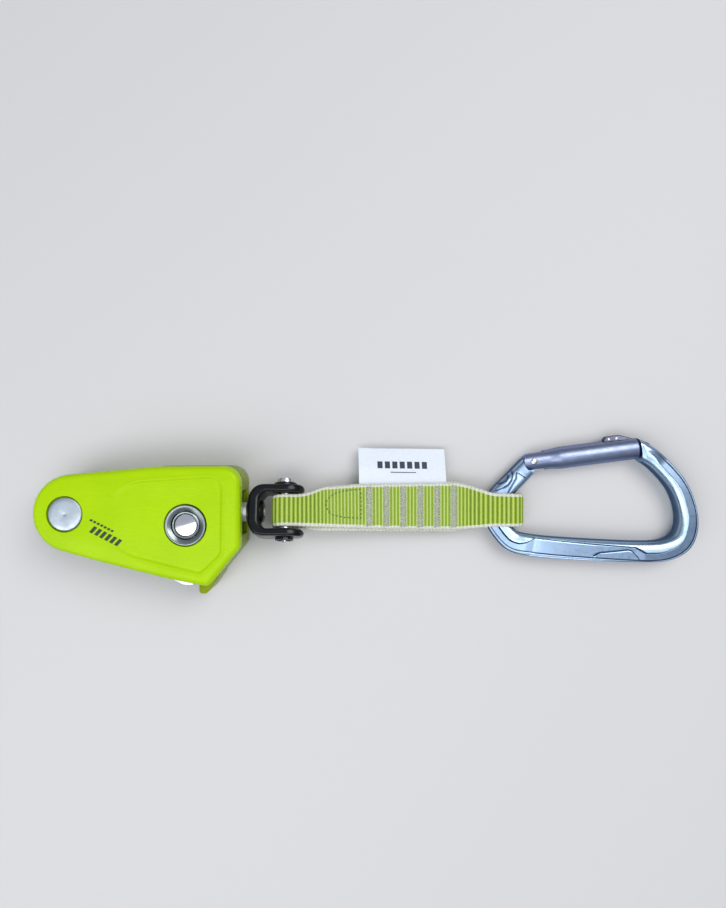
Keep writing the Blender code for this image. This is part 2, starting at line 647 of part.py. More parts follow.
def build_carabiner(carabiner):
    bar = build_bar(carabiner)
    smooth(bar)
    room = GATE_END_R + 0.5 * MM
    boolean(bar, in_gate_frame(rod("gate_end_cutter", room, -9 * MM, 9 * MM)))
    low, high = (-1 * MM, -GATE_R - 0.4 * MM, -9 * MM), (GATE_LENGTH + 0.4 * MM, 12 * MM, 9 * MM)
    boolean(bar, in_gate_frame(block("gate_room_cutter", low, high)))
    low, high = (-GATE_END_R - 0.6 * MM, 0, -9 * MM), (0, 12 * MM, 9 * MM)
    boolean(bar, in_gate_frame(block("gate_top_cutter", low, high)))
    swept = GATE_R / MM + 0.4
    opened = [(x * math.cos(GATE_SWING), -x * math.sin(GATE_SWING), swept) for x in (10, 40)]
    end_r = GATE_LENGTH / MM + 0.6
    arc = [math.radians(4 - 38 * step / 12) for step in range(13)]
    end_arc = [(end_r * math.cos(a), end_r * math.sin(a), 0.1) for a in arc]
    sweep = disc_hull([(0, 0, room / MM), (40, 0, swept)] + opened + end_arc)
    boolean(bar, in_gate_frame(prism("gate_sweep_cutter", [sweep], -9 * MM, 9 * MM)))

    thin = TAB_THICKNESS / 2
    tab_discs = [(GATE_RIVET.x / MM, GATE_RIVET.y / MM, 3.4), (-3.6, 16.2, 3), (-1.2, 16.6, 2.4)]
    boolean(bar, prism("hinge_tab_cutter", [disc_hull(tab_discs)], -thin, thin), "UNION")
    cam = prism("cam_cutter", [circle((1.286 * MM, -1.532 * MM), 2.6 * MM)], -thin, thin)
    boolean(bar, in_gate_frame(cam), "UNION")
    hook = [(GATE_LENGTH / MM + 3.5, 0, 2.2), (41.6, 0.4, 2.2), (34.6, 4.9, 1.9), (39.6, 4.9, 1.9)]
    boolean(bar, in_gate_frame(prism("nose_cutter", [disc_hull(hook)], -thin, thin)), "UNION")
    boolean(bar, in_gate_frame(rod("rivet_bore", 1.8 * MM, -9 * MM, 9 * MM, 16)))


def build_gate(gate_frame):
    """The gate lies along its own X, with the rivet at its origin."""
    step_from, step_to = 8 * MM, 10 * MM
    profile = [(0, GATE_LENGTH), (GATE_R - 0.4 * MM, GATE_LENGTH), (GATE_R, GATE_LENGTH - 0.4 * MM)]
    profile += [(GATE_R, step_to), (GATE_END_R, step_from), (GATE_END_R, -6 * MM), (0, -6 * MM)]
    gate = turn_about(turned("gate", profile), "Y", 90)
    placed(smooth(gate), gate_frame, SLATE)
    end = disc_hull([(0, 0, GATE_END_R / MM), (60, 0, 9)])
    boolean(gate, prism("gate_end_shape", [end], -8 * MM, 8 * MM), "INTERSECT")
    slot = TAB_SLOT / 2
    boolean(gate, block("tab_slot_cutter", (-9 * MM, -9 * MM, -slot), (5.2 * MM, 9 * MM, slot)))
    boolean(gate, block("nose_slot_cutter", (32 * MM, -3.1 * MM, -slot), (60 * MM, 9 * MM, slot)))
    boolean(gate, turn_about(rod("spring_bore_cutter", PLUNGER_R + GAP, 2 * MM, 24 * MM, 12), "Y", 90))
    boolean(gate, rod("gate_rivet_bore", 1.4 * MM, -9 * MM, 9 * MM, 16))

    rivet = rod("gate_rivet", 1.1 * MM, -GATE_END_R - 0.1 * MM, GATE_END_R + 0.1 * MM, 16)
    placed(smooth(rivet), gate_frame, STEEL)
    tip = [(0, 11.5 * MM), (PLUNGER_R, 11.5 * MM), (PLUNGER_R, 4.8 * MM), (0.8 * MM, 4 * MM), (0, 4 * MM)]
    plunger = turn_about(turned("gate_plunger", tip, 16), "Y", 90)
    placed(smooth(plunger), gate_frame, STEEL)
    coil_object = coil("gate_spring", 1.35 * MM, SPRING_WIRE_R, 12.2 * MM, 23.2 * MM, 6, gate_frame, STEEL)
    coil_object.rotation_euler = (0, math.radians(90), 0)


# ---------------------------------------------------------------- the assembly

clear_scene()
PARTS = new_collection("climbing_draw")
CUTTERS = new_collection("cutters")
LIME = material("lime_shell", (0.42, 0.74, 0.01), 0.35)
STEEL = material("steel", (0.62, 0.63, 0.65), 0.3, 1.0)
DARK_STEEL = material("dark_steel", (0.08, 0.08, 0.09), 0.4, 1.0)
BRASS = material("brass", (0.72, 0.55, 0.28), 0.35, 1.0)
BLACK = material("black_fork", (0.01, 0.01, 0.012), 0.3)
WEBBING = material("webbing", (0.36, 0.52, 0.08), 0.85)
WHITE = material("label_fabric", (0.8, 0.86, 0.93), 0.8)
BLUE_GREY = material("anodised", (0.35, 0.45, 0.6), 0.35, 1.0)
SLATE = material("gate_anodised", (0.3, 0.36, 0.46), 0.35, 1.0)

PIN = Vector((FORK_FACE.x + PIN_REACH, FORK_FACE.y, FORK_FACE.z))
BAR_X = CARABINER.x - BEND_R * MM
SLING_SLOPE = math.atan2(FORK_FACE.z - BAR_HEIGHT, BAR_X - PIN.x)
FLEX_X = PIN.x + SLING_END * math.cos(SLING_SLOPE)
FLEX_Z = PIN.z - SLING_END * math.sin(SLING_SLOPE)

housing_frame = frame("housing_frame", location=PIVOT)
cover_frame = frame("cover_pivot", housing_frame)
fork_axis = frame("fork_axis", location=FORK_FACE, turn=(FORK_ROLL, 0, 0))
sling_pin = frame("sling_pin", location=PIN, turn=(0, SLING_SLOPE, 0))
eye_flex = frame("eye_flex", location=(FLEX_X, PIN.y, FLEX_Z))
seam_edge = (LABEL_PLACE, SLING_HIGH_EDGE + SLING_BULGE, 0)
label_seam = frame("label_seam", sling_pin, seam_edge, (LABEL_SLOPE, 0, 0))
carabiner_centre = frame("carabiner_centre", location=CARABINER)
gate_axis = frame("gate_axis", carabiner_centre, GATE_RIVET, (0, 0, GATE_ANGLE))

build_shells(housing_frame, cover_frame)
build_plates(housing_frame, cover_frame)
build_pivot(housing_frame)
build_lock(housing_frame, cover_frame)
build_jaws(housing_frame, cover_frame)
build_fork(fork_axis, build_swivel(housing_frame, fork_axis))
build_sling(sling_pin, eye_flex)
build_label(label_seam)
build_carabiner(carabiner_centre)
build_gate(gate_axis)
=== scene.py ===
"""The looks of a climbing draw with a rope-braking housing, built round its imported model.

Lengths are in mm unless a comment says metres; MM turns them into metres.
"""

import json
from math import asin, atan2, cos, exp, pi, radians, sin, sqrt, tau

import bmesh
import bpy
import numpy as np
from mathutils import Matrix, Vector
from mathutils.geometry import convex_hull_2d


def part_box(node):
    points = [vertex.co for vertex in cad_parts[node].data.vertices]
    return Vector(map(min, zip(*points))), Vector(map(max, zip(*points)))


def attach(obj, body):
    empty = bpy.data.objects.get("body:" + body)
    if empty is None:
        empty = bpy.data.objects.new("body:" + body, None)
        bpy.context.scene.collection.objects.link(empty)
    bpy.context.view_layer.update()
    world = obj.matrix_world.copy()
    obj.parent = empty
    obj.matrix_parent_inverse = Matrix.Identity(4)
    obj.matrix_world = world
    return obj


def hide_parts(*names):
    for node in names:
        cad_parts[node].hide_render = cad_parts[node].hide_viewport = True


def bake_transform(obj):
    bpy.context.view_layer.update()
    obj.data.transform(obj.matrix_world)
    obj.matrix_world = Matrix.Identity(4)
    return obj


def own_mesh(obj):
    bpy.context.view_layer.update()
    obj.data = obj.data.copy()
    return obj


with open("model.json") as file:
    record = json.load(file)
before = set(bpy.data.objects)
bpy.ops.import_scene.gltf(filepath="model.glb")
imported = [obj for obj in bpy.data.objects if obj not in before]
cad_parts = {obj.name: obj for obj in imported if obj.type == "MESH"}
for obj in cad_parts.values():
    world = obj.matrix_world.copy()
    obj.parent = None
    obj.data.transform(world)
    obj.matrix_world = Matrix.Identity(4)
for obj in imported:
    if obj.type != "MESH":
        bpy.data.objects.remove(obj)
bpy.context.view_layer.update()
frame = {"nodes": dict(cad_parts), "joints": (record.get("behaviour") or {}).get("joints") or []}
MM = 0.001
JOINTS = {joint["name"]: joint for joint in frame["joints"]}


def middle(node):
    low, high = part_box(node)
    return (low + high) / 2


def joint_at(name):
    return Vector(JOINTS[name]["pos_m"])


def joint_axis(name):
    return Vector(JOINTS[name]["axis"])


# Places in metres, and directions
PIVOT, LOCK = middle("pivot_bolt"), middle("lock_collar")
PIVOT_FOOT, LOCK_FOOT = (PIVOT.x, PIVOT.y, 0), (LOCK.x, LOCK.y, 0)
FORK_FACE, FLEX, CARABINER = joint_at("swivel_turn"), joint_at("eye_flex"), joint_at("carabiner_swing")
PIN, PIN_AXIS = joint_at("sling_hinge"), joint_axis("sling_hinge")
SEAM, SEAM_AXIS = joint_at("label_flap"), joint_axis("label_flap")
GATE, GATE_AXIS = joint_at("gate_open"), joint_axis("gate_plunger_slide")
IN_GATE = Matrix.Translation(GATE) @ Matrix.Rotation(atan2(GATE_AXIS.y, GATE_AXIS.x), 4, "Z")

# Heights of the shells, and the lock from the pivot
RIM, TOP = (corner.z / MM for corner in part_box("front_shell"))
WALL_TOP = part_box("back_shell")[1].z / MM
LOCK_AT = ((LOCK.x - PIVOT.x) / MM, (LOCK.y - PIVOT.y) / MM)

# Outlines, as discs (x, y, radius) from the pivot whose hull they are
SHELL_DISCS = [(2.4, 0.2, 16.6), (38, 9.6, 10.5), (66.4, 12.9, 7.4), (70, -12.9, 3.8), (58.9, -27.2, 3.4)]
SHELL_DISCS += [(16, -8.4, 12), (43.5, -21.5, 6)]
PANEL_DISCS = [(34, -2.5, 16.2), (60.9, 10.3, 5.2), (62.4, -15.2, 3.4), (56.4, -22, 2.8)]
# Centreline of the carabiner's bar: (x, y, width, height) from its narrow bend's centre
BEND_R = 14.2
BEND = [(BEND_R * cos(a), BEND_R * sin(a), 9.2, 7.6) for a in np.radians((150, 165, 180, 195, 210))]
BAR_STATIONS = [(1.6, 21.8, 8.6, 10.6), (-3.5, 16.4, 8.8, 10.4), (-8.4, 11.4, 8.9, 7.7)] + BEND
BAR_STATIONS += [(-6.9, -13.0, 9.6, 7.7), (0, -15, 9.8, 10), (10, -16.2, 9.8, 11), (30, -17.4, 9.7, 11)]
BAR_STATIONS += [(50, -18.1, 9.5, 11), (61.4, -17.5, 9.9, 11), (68.9, -13.8, 10, 11), (71.8, -6.8, 9.5, 11)]
BAR_STATIONS += [(71.2, 2, 8.8, 11), (67, 12.2, 8.4, 11), (58.2, 22.1, 8.2, 10.8), (51.1, 27, 8.8, 10.6)]
BAR_STATIONS += [(43.5, 30.6, 9, 10.4)]

# ---- materials


class Shader:
    """A Principled material with short calls for the nodes that feed it."""

    def __init__(self, name, colour, roughness, metallic=0.0, **sockets):
        self.material = bpy.data.materials.new(name)
        self.material.use_nodes = True
        self.material.diffuse_color = (*colour, 1)
        self.tree = self.material.node_tree
        self.shader = self.tree.nodes["Principled BSDF"]
        sockets |= {"Base Color": (*colour, 1), "Roughness": roughness, "Metallic": metallic}
        for socket, value in sockets.items():
            self.set(socket.replace("_", " "), value)

    def set(self, socket, value, node=None):
        target = (node or self.shader).inputs[socket]
        if isinstance(value, bpy.types.NodeSocket):
            self.tree.links.new(value, target)
        else:
            target.default_value = value

    def node(self, kind, inputs, **settings):
        made = self.tree.nodes.new(kind)
        for name, value in settings.items():
            setattr(made, name, value)
        for socket, value in inputs.items():
            self.set(socket, value, made)
        return made

    def object_place(self):
        return self.node("ShaderNodeTexCoord", {}).outputs["Object"]

    def noise(self, scale, detail=3.0, stretch=(1, 1, 1), vector=None):
        if vector is None:
            inputs = {"Vector": self.object_place(), "Scale": stretch}
            vector = self.node("ShaderNodeMapping", inputs).outputs["Vector"]
        inputs = {"Vector": vector, "Scale": scale, "Detail": detail, "Roughness": 0.55}
        return self.node("ShaderNodeTexNoise", inputs).outputs["Fac"]

    def math(self, operation, first, second=0.0):
        return self.node("ShaderNodeMath", {0: first, 1: second}, operation=operation).outputs[0]

    def remap(self, value, low, high, to_low=0.0, to_high=1.0):
        inputs = {"Value": value, "From Min": low, "From Max": high, "To Min": to_low, "To Max": to_high}
        return self.node("ShaderNodeMapRange", inputs).outputs["Result"]

    def mix(self, share, first, second):
        first, second = (c if isinstance(c, bpy.types.NodeSocket) else (*c, 1) for c in (first, second))
        return self.node("ShaderNodeMix", {0: share, 6: first, 7: second}, data_type="RGBA").outputs[2]

    def mottle(self, value, low, high, first, second):
        """Base colour that goes from first to second as value goes from low to high."""
        self.set("Base Color", self.mix(self.remap(value, low, high), first, second))

    def vary_roughness(self, value, low, high, smoothest, roughest):
        self.set("Roughness", self.remap(value, low, high, smoothest, roughest))

    def attribute(self, name):
        return self.node("ShaderNodeAttribute", {}, attribute_name=name).outputs["Fac"]

    def add_bump(self, height, strength, distance):
        inputs = {"Height": height, "Strength": strength, "Distance": distance}
        self.set("Normal", self.node("ShaderNodeBump", inputs).outputs["Normal"])
        return self.material


def scaled(colour, share):
    return tuple(min(1, c * share) for c in colour)


def moulded_plastic(name, colour, darker, gloss):
    made = Shader(name, colour, 0.3, Specular_IOR_Level=gloss, Coat_Weight=gloss / 5, Coat_Roughness=0.1)
    made.set("Specular Tint", (0.85, 1.0, 0.25, 1))
    made.mottle(made.noise(60, 4), 0.3, 0.7, darker, colour)
    made.vary_roughness(made.noise(260, 5, (1, 3, 1)), 0.35, 0.75, 0.24, 0.4)
    return made.add_bump(made.noise(900, 2), 0.08, 0.0001)


def turned_metal(name, colour, roughness, rings=2600, strength=0.25):
    """Metal with fine rings round the piece's own Z."""
    made = Shader(name, colour, roughness, 1.0)
    split = made.node("ShaderNodeSeparateXYZ", {"Vector": made.object_place()})
    x, y = split.outputs["X"], split.outputs["Y"]
    radius = made.math("SQRT", made.math("ADD", made.math("MULTIPLY", x, x), made.math("MULTIPLY", y, y)))
    along = made.math("ADD", radius, split.outputs["Z"])
    ring_place = made.node("ShaderNodeCombineXYZ", {"X": along}).outputs["Vector"]
    stain = made.noise(220, 4)
    made.vary_roughness(stain, 0.3, 0.7, roughness * 0.75, roughness * 1.35)
    made.mottle(stain, 0.35, 0.7, colour, scaled(colour, 0.82))
    return made.add_bump(made.noise(rings, 2, vector=ring_place), strength, 0.00006)


def brushed_metal(name, colour, roughness, strength=0.2):
    made = Shader(name, colour, roughness, 1.0)
    grain = made.noise(420, 4, (1, 14, 6))
    made.vary_roughness(grain, 0.3, 0.7, roughness * 0.7, roughness * 1.4)
    made.mottle(made.noise(90, 4), 0.35, 0.7, colour, scaled(colour, 0.8))
    return made.add_bump(grain, strength, 0.00005)


def anodised(name, colour, light, dark, rough):
    """Satin anodised aluminium, with a painted highlight on its crests and painted shade in its grooves and on its side
    walls.
    """
    made = Shader(name, colour, rough, 1.0)
    made.set("Specular Tint", (0.4, 0.5, 0.65, 1))
    shade = made.mix(made.remap(made.noise(160, 5), 0.3, 0.75), colour, light)
    # painted light: crest mixes in a lighter tone as a painted highlight, and wall and groove mix in the dark tone as
    # painted shade
    for part, share, tone in (("crest", 0.75, scaled(light, 1.6)), ("wall", 0.78, dark), ("groove", 0.85, dark)):
        shade = made.mix(made.math("MULTIPLY", made.attribute(part), share), shade, tone)
    made.set("Base Color", shade)
    made.vary_roughness(made.noise(500, 3), 0.3, 0.7, rough * 0.85, rough * 1.2)
    return made.add_bump(made.noise(1300, 2), 0.03, 0.00004)


def gloss_black(name):
    black = (0.004, 0.004, 0.006)
    made = Shader(name, black, 0.2, Specular_IOR_Level=0.24, Coat_Weight=0.2, Coat_Roughness=0.04)
    made.set("Specular Tint", (0.92, 0.96, 1.0, 1))
    scratches = made.noise(380, 5, (1, 4, 4))
    made.vary_roughness(scratches, 0.4, 0.8, 0.18, 0.34)
    made.mottle(scratches, 0.62, 0.8, black, (0.012, 0.012, 0.015))
    return made.add_bump(made.noise(700, 2), 0.06, 0.0001)


def ink(name, colour, grain, detail, smoothest):
    made = Shader(name, colour, 0.5)
    made.vary_roughness(made.noise(grain, detail), 0.3, 0.7, smoothest, 0.65)
    return made.material


def yarn(name, colour, grain, detail, low, high, dark, light, rough=0.7, sheen=0.2):
    made = Shader(name, colour, rough, Sheen_Weight=sheen)
    made.mottle(made.noise(grain, detail), low, high, dark, light)
    return made


def webbing_material():
    """Ribbed lime weave with pale edges; painted shade between its ribs and a painted highlight on their crests, and
    duller where it is sewn.
    """
    made = Shader("lime_webbing", (0.36, 0.55, 0.06), 0.78, Sheen_Weight=0.15, Sheen_Roughness=0.5)
    made.set("Sheen Tint", (0.8, 0.95, 0.5, 1))
    rib, edge, along = made.attribute("rib"), made.attribute("edge"), made.attribute("pin")
    fray = made.remap(made.noise(1500, 3), 0.32, 0.7)
    # painted shade between the ribs, where the rib attribute is low
    valley_shade = made.mix(fray, (0.10, 0.19, 0.004), (0.18, 0.29, 0.012))
    broad = made.mix(fray, (0.36, 0.51, 0.025), (0.48, 0.62, 0.07))
    plain = made.mix(made.remap(rib, 0.1, 0.72), valley_shade, broad)
    # painted highlight on the rib crests
    plain = made.mix(made.remap(rib, 0.68, 1, 0, 0.7), plain, (0.58, 0.72, 0.20))
    sewn = made.mix(fray, (0.24, 0.38, 0.015), (0.36, 0.50, 0.04))
    # along the sewn stretch: painted highlight on the rib crests and painted shade between the ribs
    sewn = made.mix(made.remap(rib, 0.62, 0.92, 0, 0.85), sewn, (0.60, 0.74, 0.26))
    sewn = made.mix(made.remap(rib, 0.2, 0.0, 0, 0.55), sewn, (0.11, 0.2, 0.006))
    body = made.mix(made.math("MULTIPLY", made.remap(along, 13, 20), made.remap(along, 82, 76)), plain, sewn)
    rim = made.mix(fray, (0.58, 0.60, 0.48), (0.88, 0.88, 0.80))
    # painted shade between the ribs on the pale edges
    rim = made.mix(made.remap(rib, 0.35, 0.0, 0, 0.5), rim, (0.42, 0.46, 0.28))
    made.mottle(edge, 1.5, 1.2, body, rim)
    made.vary_roughness(fray, 0, 1, 0.68, 0.9)
    return made.add_bump(made.noise(2600, 2, (1, 0.45, 1)), 0.4, 0.00012)


LIME = moulded_plastic("lime_moulded", (0.44, 0.715, 0.003), (0.40, 0.665, 0.002), 0.29)
# painted shade: a darker copy of the lime plastic, used for the base shell, its end walls and the rope tooth
LIME_SHADED = moulded_plastic("lime_moulded_shaded", (0.27, 0.36, 0.01), (0.2, 0.27, 0.008), 0.12)
DISC_METAL = turned_metal("turned_disc", (0.50, 0.57, 0.62), 0.42, 1500, 0.6)
RING_METAL = turned_metal("turned_ring", (0.28, 0.32, 0.32), 0.26, 1800, 0.35)
BUTTON_METAL = brushed_metal("polished_button", (0.80, 0.80, 0.83), 0.1, 0.02)
POLISHED = turned_metal("polished_steel", (0.80, 0.80, 0.82), 0.22, 1500, 0.15)
SATIN_STEEL = turned_metal("satin_steel", (0.88, 0.90, 0.92), 0.5, 900, 0.1)
PLATE_METAL = brushed_metal("brushed_plate", (0.62, 0.62, 0.64), 0.34)
DARK_METAL = brushed_metal("blackened_steel", (0.10, 0.10, 0.11), 0.34)
BRASS = turned_metal("brass_washer", (0.68, 0.50, 0.24), 0.3)
FORK_BLACK = gloss_black("fork_coating")
# the bar's dark tone is the painted shade that its wall and groove attributes mix in
BAR_METAL = anodised("anodised_bar", (0.36, 0.50, 0.68), (0.40, 0.54, 0.72), (0.035, 0.06, 0.11), 0.3)
GATE_METAL = anodised("anodised_gate", (0.27, 0.32, 0.47), (0.30, 0.35, 0.50), (0.08, 0.09, 0.13), 0.36)
NOSE_METAL = anodised("anodised_nose", (0.11, 0.12, 0.17), (0.13, 0.14, 0.2), (0.05, 0.05, 0.07), 0.4)
WEBBING = webbing_material()
CORE = yarn("core_webbing", (0.30, 0.40, 0.10), 1300, 3, 0.3, 0.7, (0.30, 0.34, 0.16), (0.62, 0.62, 0.45), 0.85, 0.3)
CORE = CORE.add_bump(CORE.noise(1800, 2), 0.3, 0.0001)
TACK = yarn("tack_thread", (0.46, 0.50, 0.40), 2600, 2, 0.35, 0.65, (0.26, 0.30, 0.20), (0.66, 0.68, 0.54)).material
SEAM_THREAD = yarn("seam_thread", (0.08, 0.15, 0.03), 2400, 2, 0.35, 0.65, (0.05, 0.1, 0.02), (0.2, 0.3, 0.08)).material

# ---- mesh helpers


def smooth(obj, degrees=40):
    obj.data.shade_smooth()
    obj.data.set_sharp_from_angle(angle=radians(degrees))
    return obj


def new_object(name, verts, faces, material, smooth_angle=40, **attributes):
    """An object from points in metres; attributes are values per point, for its material."""
    mesh = bpy.data.meshes.new(name)
    mesh.from_pydata(np.array(verts, float).tolist(), [], faces)
    for attribute, values in attributes.items():
        flat = np.array(values, np.float32).ravel()
        mesh.attributes.new(attribute, "FLOAT", "POINT").data.foreach_set("value", flat)
    shape = bmesh.new()
    shape.from_mesh(mesh)
    if not attributes:
        bmesh.ops.remove_doubles(shape, verts=shape.verts, dist=1e-7)
    bmesh.ops.recalc_face_normals(shape, faces=shape.faces)
    shape.to_mesh(mesh)
    shape.free()
    mesh.materials.append(material)
    made = bpy.data.objects.new(name, mesh)
    bpy.context.scene.collection.objects.link(made)
    return smooth(made, smooth_angle)


def grid_faces(rows, columns, close_rows=False):
    """Faces of a grid of points whose rows are closed rings."""
    faces = []
    for i in range(rows if close_rows else rows - 1):
        here, below = i * columns, (i + 1) % rows * columns
        for j in range(columns):
            n = (j + 1) % columns
            faces.append((here + j, here + n, below + n, below + j))
    return faces


def loft(name, rings, material, close_rows=False, smooth_angle=40, **attributes):
    """Joins rings of points (rows x points x 3, in metres) into a closed surface."""
    rings = np.array(rings, float)
    rows, columns = rings.shape[:2]
    faces = grid_faces(rows, columns, close_rows)
    if not close_rows:
        last = (rows - 1) * columns
        faces += [tuple(range(columns))[::-1], tuple(range(last, last + columns))]
    return new_object(name, rings.reshape(-1, 3), faces, material, smooth_angle, **attributes)


def lathe(name, profile, material, origin, axis=(0, 0, 1), steps=96, closed=False, out=None):
    """Turns a profile of (radius, height) round its own Z, which then points along axis. Origin in metres."""
    angles = np.linspace(0, tau, steps, endpoint=False)
    verts, faces, rows = [], [], []
    for radius, height in profile:
        count = steps if radius else 1
        rows.append([len(verts) + k % count for k in range(steps)])
        verts += [(radius * MM * cos(a), radius * MM * sin(a), height * MM) for a in angles[:count]]
    for first, second in zip(rows, rows[1:] + rows[:closed]):
        for k in range(steps):
            n = (k + 1) % steps
            corners = dict.fromkeys((first[k], first[n], second[n], second[k]))
            if len(corners) > 2:
                faces.append(tuple(corners))
    made = new_object(name, verts, faces, material, 30)
    z = Vector(axis).normalized()
    turn = z.to_track_quat("Z", "Y").to_matrix()
    if out:
        x = (Vector(out) - Vector(out).dot(z) * z).normalized()
        turn = Matrix((x, z.cross(x), z)).transposed()
    made.matrix_world = Matrix.Translation(Vector(origin)) @ turn.to_4x4()
    return made


def prism(name, outline, low, high, material, place=Matrix()):
    """An outline of (x, y) extruded from low to high."""
    n = len(outline)
    verts = np.array([(x, y, z) for z in (low, high) for x, y in outline]) * MM
    faces = [tuple(range(n))[::-1], tuple(range(n, 2 * n))]
    faces += [(k, (k + 1) % n, n + (k + 1) % n, n + k) for k in range(n)]
    made = new_object(name, verts, faces, material, 30)
    made.matrix_world = place
    return made


def applied(obj):
    bpy.context.view_layer.update()
    graph = bpy.context.evaluated_depsgraph_get()
    mesh = bpy.data.meshes.new_from_object(obj.evaluated_get(graph))
    obj.modifiers.clear()
    obj.data = mesh
    return obj


def cut(obj, cutter, operation="DIFFERENCE"):
    """Cuts obj with cutter, which is then gone."""
    step = obj.modifiers.new("cut", "BOOLEAN")
    step.operation, step.solver, step.object = operation, "EXACT", cutter
    applied(obj)
    bpy.data.objects.remove(cutter)


def drill(obj, radius, low, high, x=0.0, y=0.0, steps=128):
    """Cuts a round upright hole at (x, y) from the pivot."""
    profile = [(0, high), (radius, high), (radius, low), (0, low)]
    cut(obj, lathe("drill", profile, obj.data.materials[0], (PIVOT.x + x * MM, PIVOT.y + y * MM, 0), steps=steps))


def round_edges(obj, width, smooth_angle=40):
    step = obj.modifiers.new("round edges", "BEVEL")
    step.width, step.segments, step.limit_method = width * MM, 3, "ANGLE"
    return smooth(applied(obj), smooth_angle)


def piece(obj, body, slot, *nodes):
    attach(obj, body)
    if nodes:
        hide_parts(*nodes)
    return obj


def turned(name, body, node, material, profile, origin, **shape):
    """A lathed steel piece that stands for a CAD node."""
    return piece(lathe(name, profile, material, origin, **shape), body, "steel", node)


def unit(vectors):
    return vectors / np.linalg.norm(vectors, axis=-1, keepdims=True)


def normals_of(path):
    """Unit vectors square to a line of (x, y) points, on its left."""
    ahead = unit(np.gradient(path, axis=0))
    return np.stack([-ahead[:, 1], ahead[:, 0]], axis=1)


def lengths_along(path):
    gaps = np.linalg.norm(np.diff(path[:, :2], axis=0), axis=1)
    return np.concatenate([[0], np.cumsum(gaps)])


def walk(path, places):
    """What the path's columns say at lengths along it."""
    return np.column_stack([np.interp(places, lengths_along(path), column) for column in path.T])


def line_at(line, u):
    return np.interp(u, *zip(*line))


def rise(value, low, high):
    share = np.clip((np.asarray(value, float) - low) / (high - low), 0, 1)
    return share * share * (3 - 2 * share)


def thread(name, lines, radius, material):
    """Tubes along lines of points in metres, with rounded ends, as one mesh."""
    sides = 6
    turn = tau * np.arange(sides)[:, None] / sides
    verts, faces = [], []
    for points in lines:
        points = np.array(points, float)
        ahead = unit(np.gradient(points, axis=0))
        side = np.cross(ahead, (0, 0, 1.0))
        lengths = np.linalg.norm(side, axis=1, keepdims=True)
        side = np.where(lengths > 1e-6, side / np.maximum(lengths, 1e-9), (0, 1, 0))
        start, last = len(verts), len(points) - 1
        for i, (point, s, up) in enumerate(zip(points, side, np.cross(side, ahead))):
            reach = radius * MM * (0.55 if i in (0, last) else 1)
            verts += list(point + reach * (np.cos(turn) * s + np.sin(turn) * up))
        faces += [tuple(start + i for i in face) for face in grid_faces(last + 1, sides)]
        faces += [tuple(range(a, a + sides)) for a in (start, start + last * sides)]
    return new_object(name, verts, faces, material, 80)


def hull_outline(discs, steps=48):
    """The outline round a set of discs (x, y, radius)."""
    angles = np.linspace(0, tau, steps, endpoint=False)
    points = [Vector((x + r * cos(a), y + r * sin(a))) for x, y, r in discs for a in angles]
    return np.array([points[i] for i in convex_hull_2d(points)])


class Hull:
    """The outline round a set of discs, with distances to it."""

    def __init__(self, discs):
        corners = hull_outline(discs, 96)
        ahead = np.roll(corners, -1, axis=0) - corners
        normals = unit(np.stack([ahead[:, 1], -ahead[:, 0]], axis=1))
        if np.mean((normals * (corners - corners.mean(0))).sum(1)) < 0:
            normals = -normals
        self.normals, self.reaches = normals, (normals * corners).sum(1)

    def inside(self, x, y):
        """How far each point is inside the outline."""
        points = np.stack([np.ravel(x), np.ravel(y)], axis=1)
        return (self.reaches[None] - points @ self.normals.T).min(1).reshape(np.shape(x))

    def reach(self, centre, angles, inset=0.0):
        """How far the outline, drawn in by inset, is from centre at each angle."""
        toward = np.stack([np.cos(angles), np.sin(angles)], axis=1) @ self.normals.T
        room = (self.reaches - inset - self.normals @ np.asarray(centre))[None]
        return np.where(toward > 1e-6, room / np.maximum(toward, 1e-6), 1e9).min(1)


# ---- housing

SHELL, PANEL = Hull(SHELL_DISCS), Hull(PANEL_DISCS)


def from_pivot(x, y, z):
    """Points from the pivot, as metres in the row frame."""
    return np.stack([PIVOT.x + np.asarray(x) * MM, PIVOT.y + np.asarray(y) * MM, np.asarray(z) * MM], axis=-1)


def pivot_outline(points):
    return [(PIVOT.x / MM + x, PIVOT.y / MM + y) for x, y in points]


def cover_height(x, y):
    """Height of the cover's upper face: rolled edge, raised border, sunk panel and contour ribs."""
    edge = np.maximum(SHELL.inside(x, y), 0)
    roll = 2.6
    inner = np.clip(roll - edge, 0, roll)
    height = TOP - (roll - np.sqrt(roll**2 - inner**2 + 1e-9))
    height -= 0.35 * (1 - rise(edge, roll - 0.4, 7.5))
    within = PANEL.inside(x, y)
    shown = rise(x, 18, 33)
    height -= 0.5 * rise(within, -0.5, 0.7) * shown
    height += 0.16 * np.exp(-(((within + 0.9) / 0.55) ** 2)) * shown
    ribs = rise(within, 0.9, 2.2) * (1 - rise(within, 6, 9.5)) * rise(y, 1.5, 6) * rise(x, 22, 38)
    return height + 0.024 * np.cos(tau * within / 0.95) * ribs


def round_lock(angles, reach, height=None):
    """A ring of points at a reach round the lock's axis, on the cover's face where no height is given."""
    x, y = LOCK_AT[0] + reach * np.cos(angles), LOCK_AT[1] + reach * np.sin(angles)
    return from_pivot(x, y, cover_height(x, y) if height is None else np.full(len(angles), height))


def along_shell(angles, inset, height=None):
    return round_lock(angles, SHELL.reach(LOCK_AT, angles, inset), height)


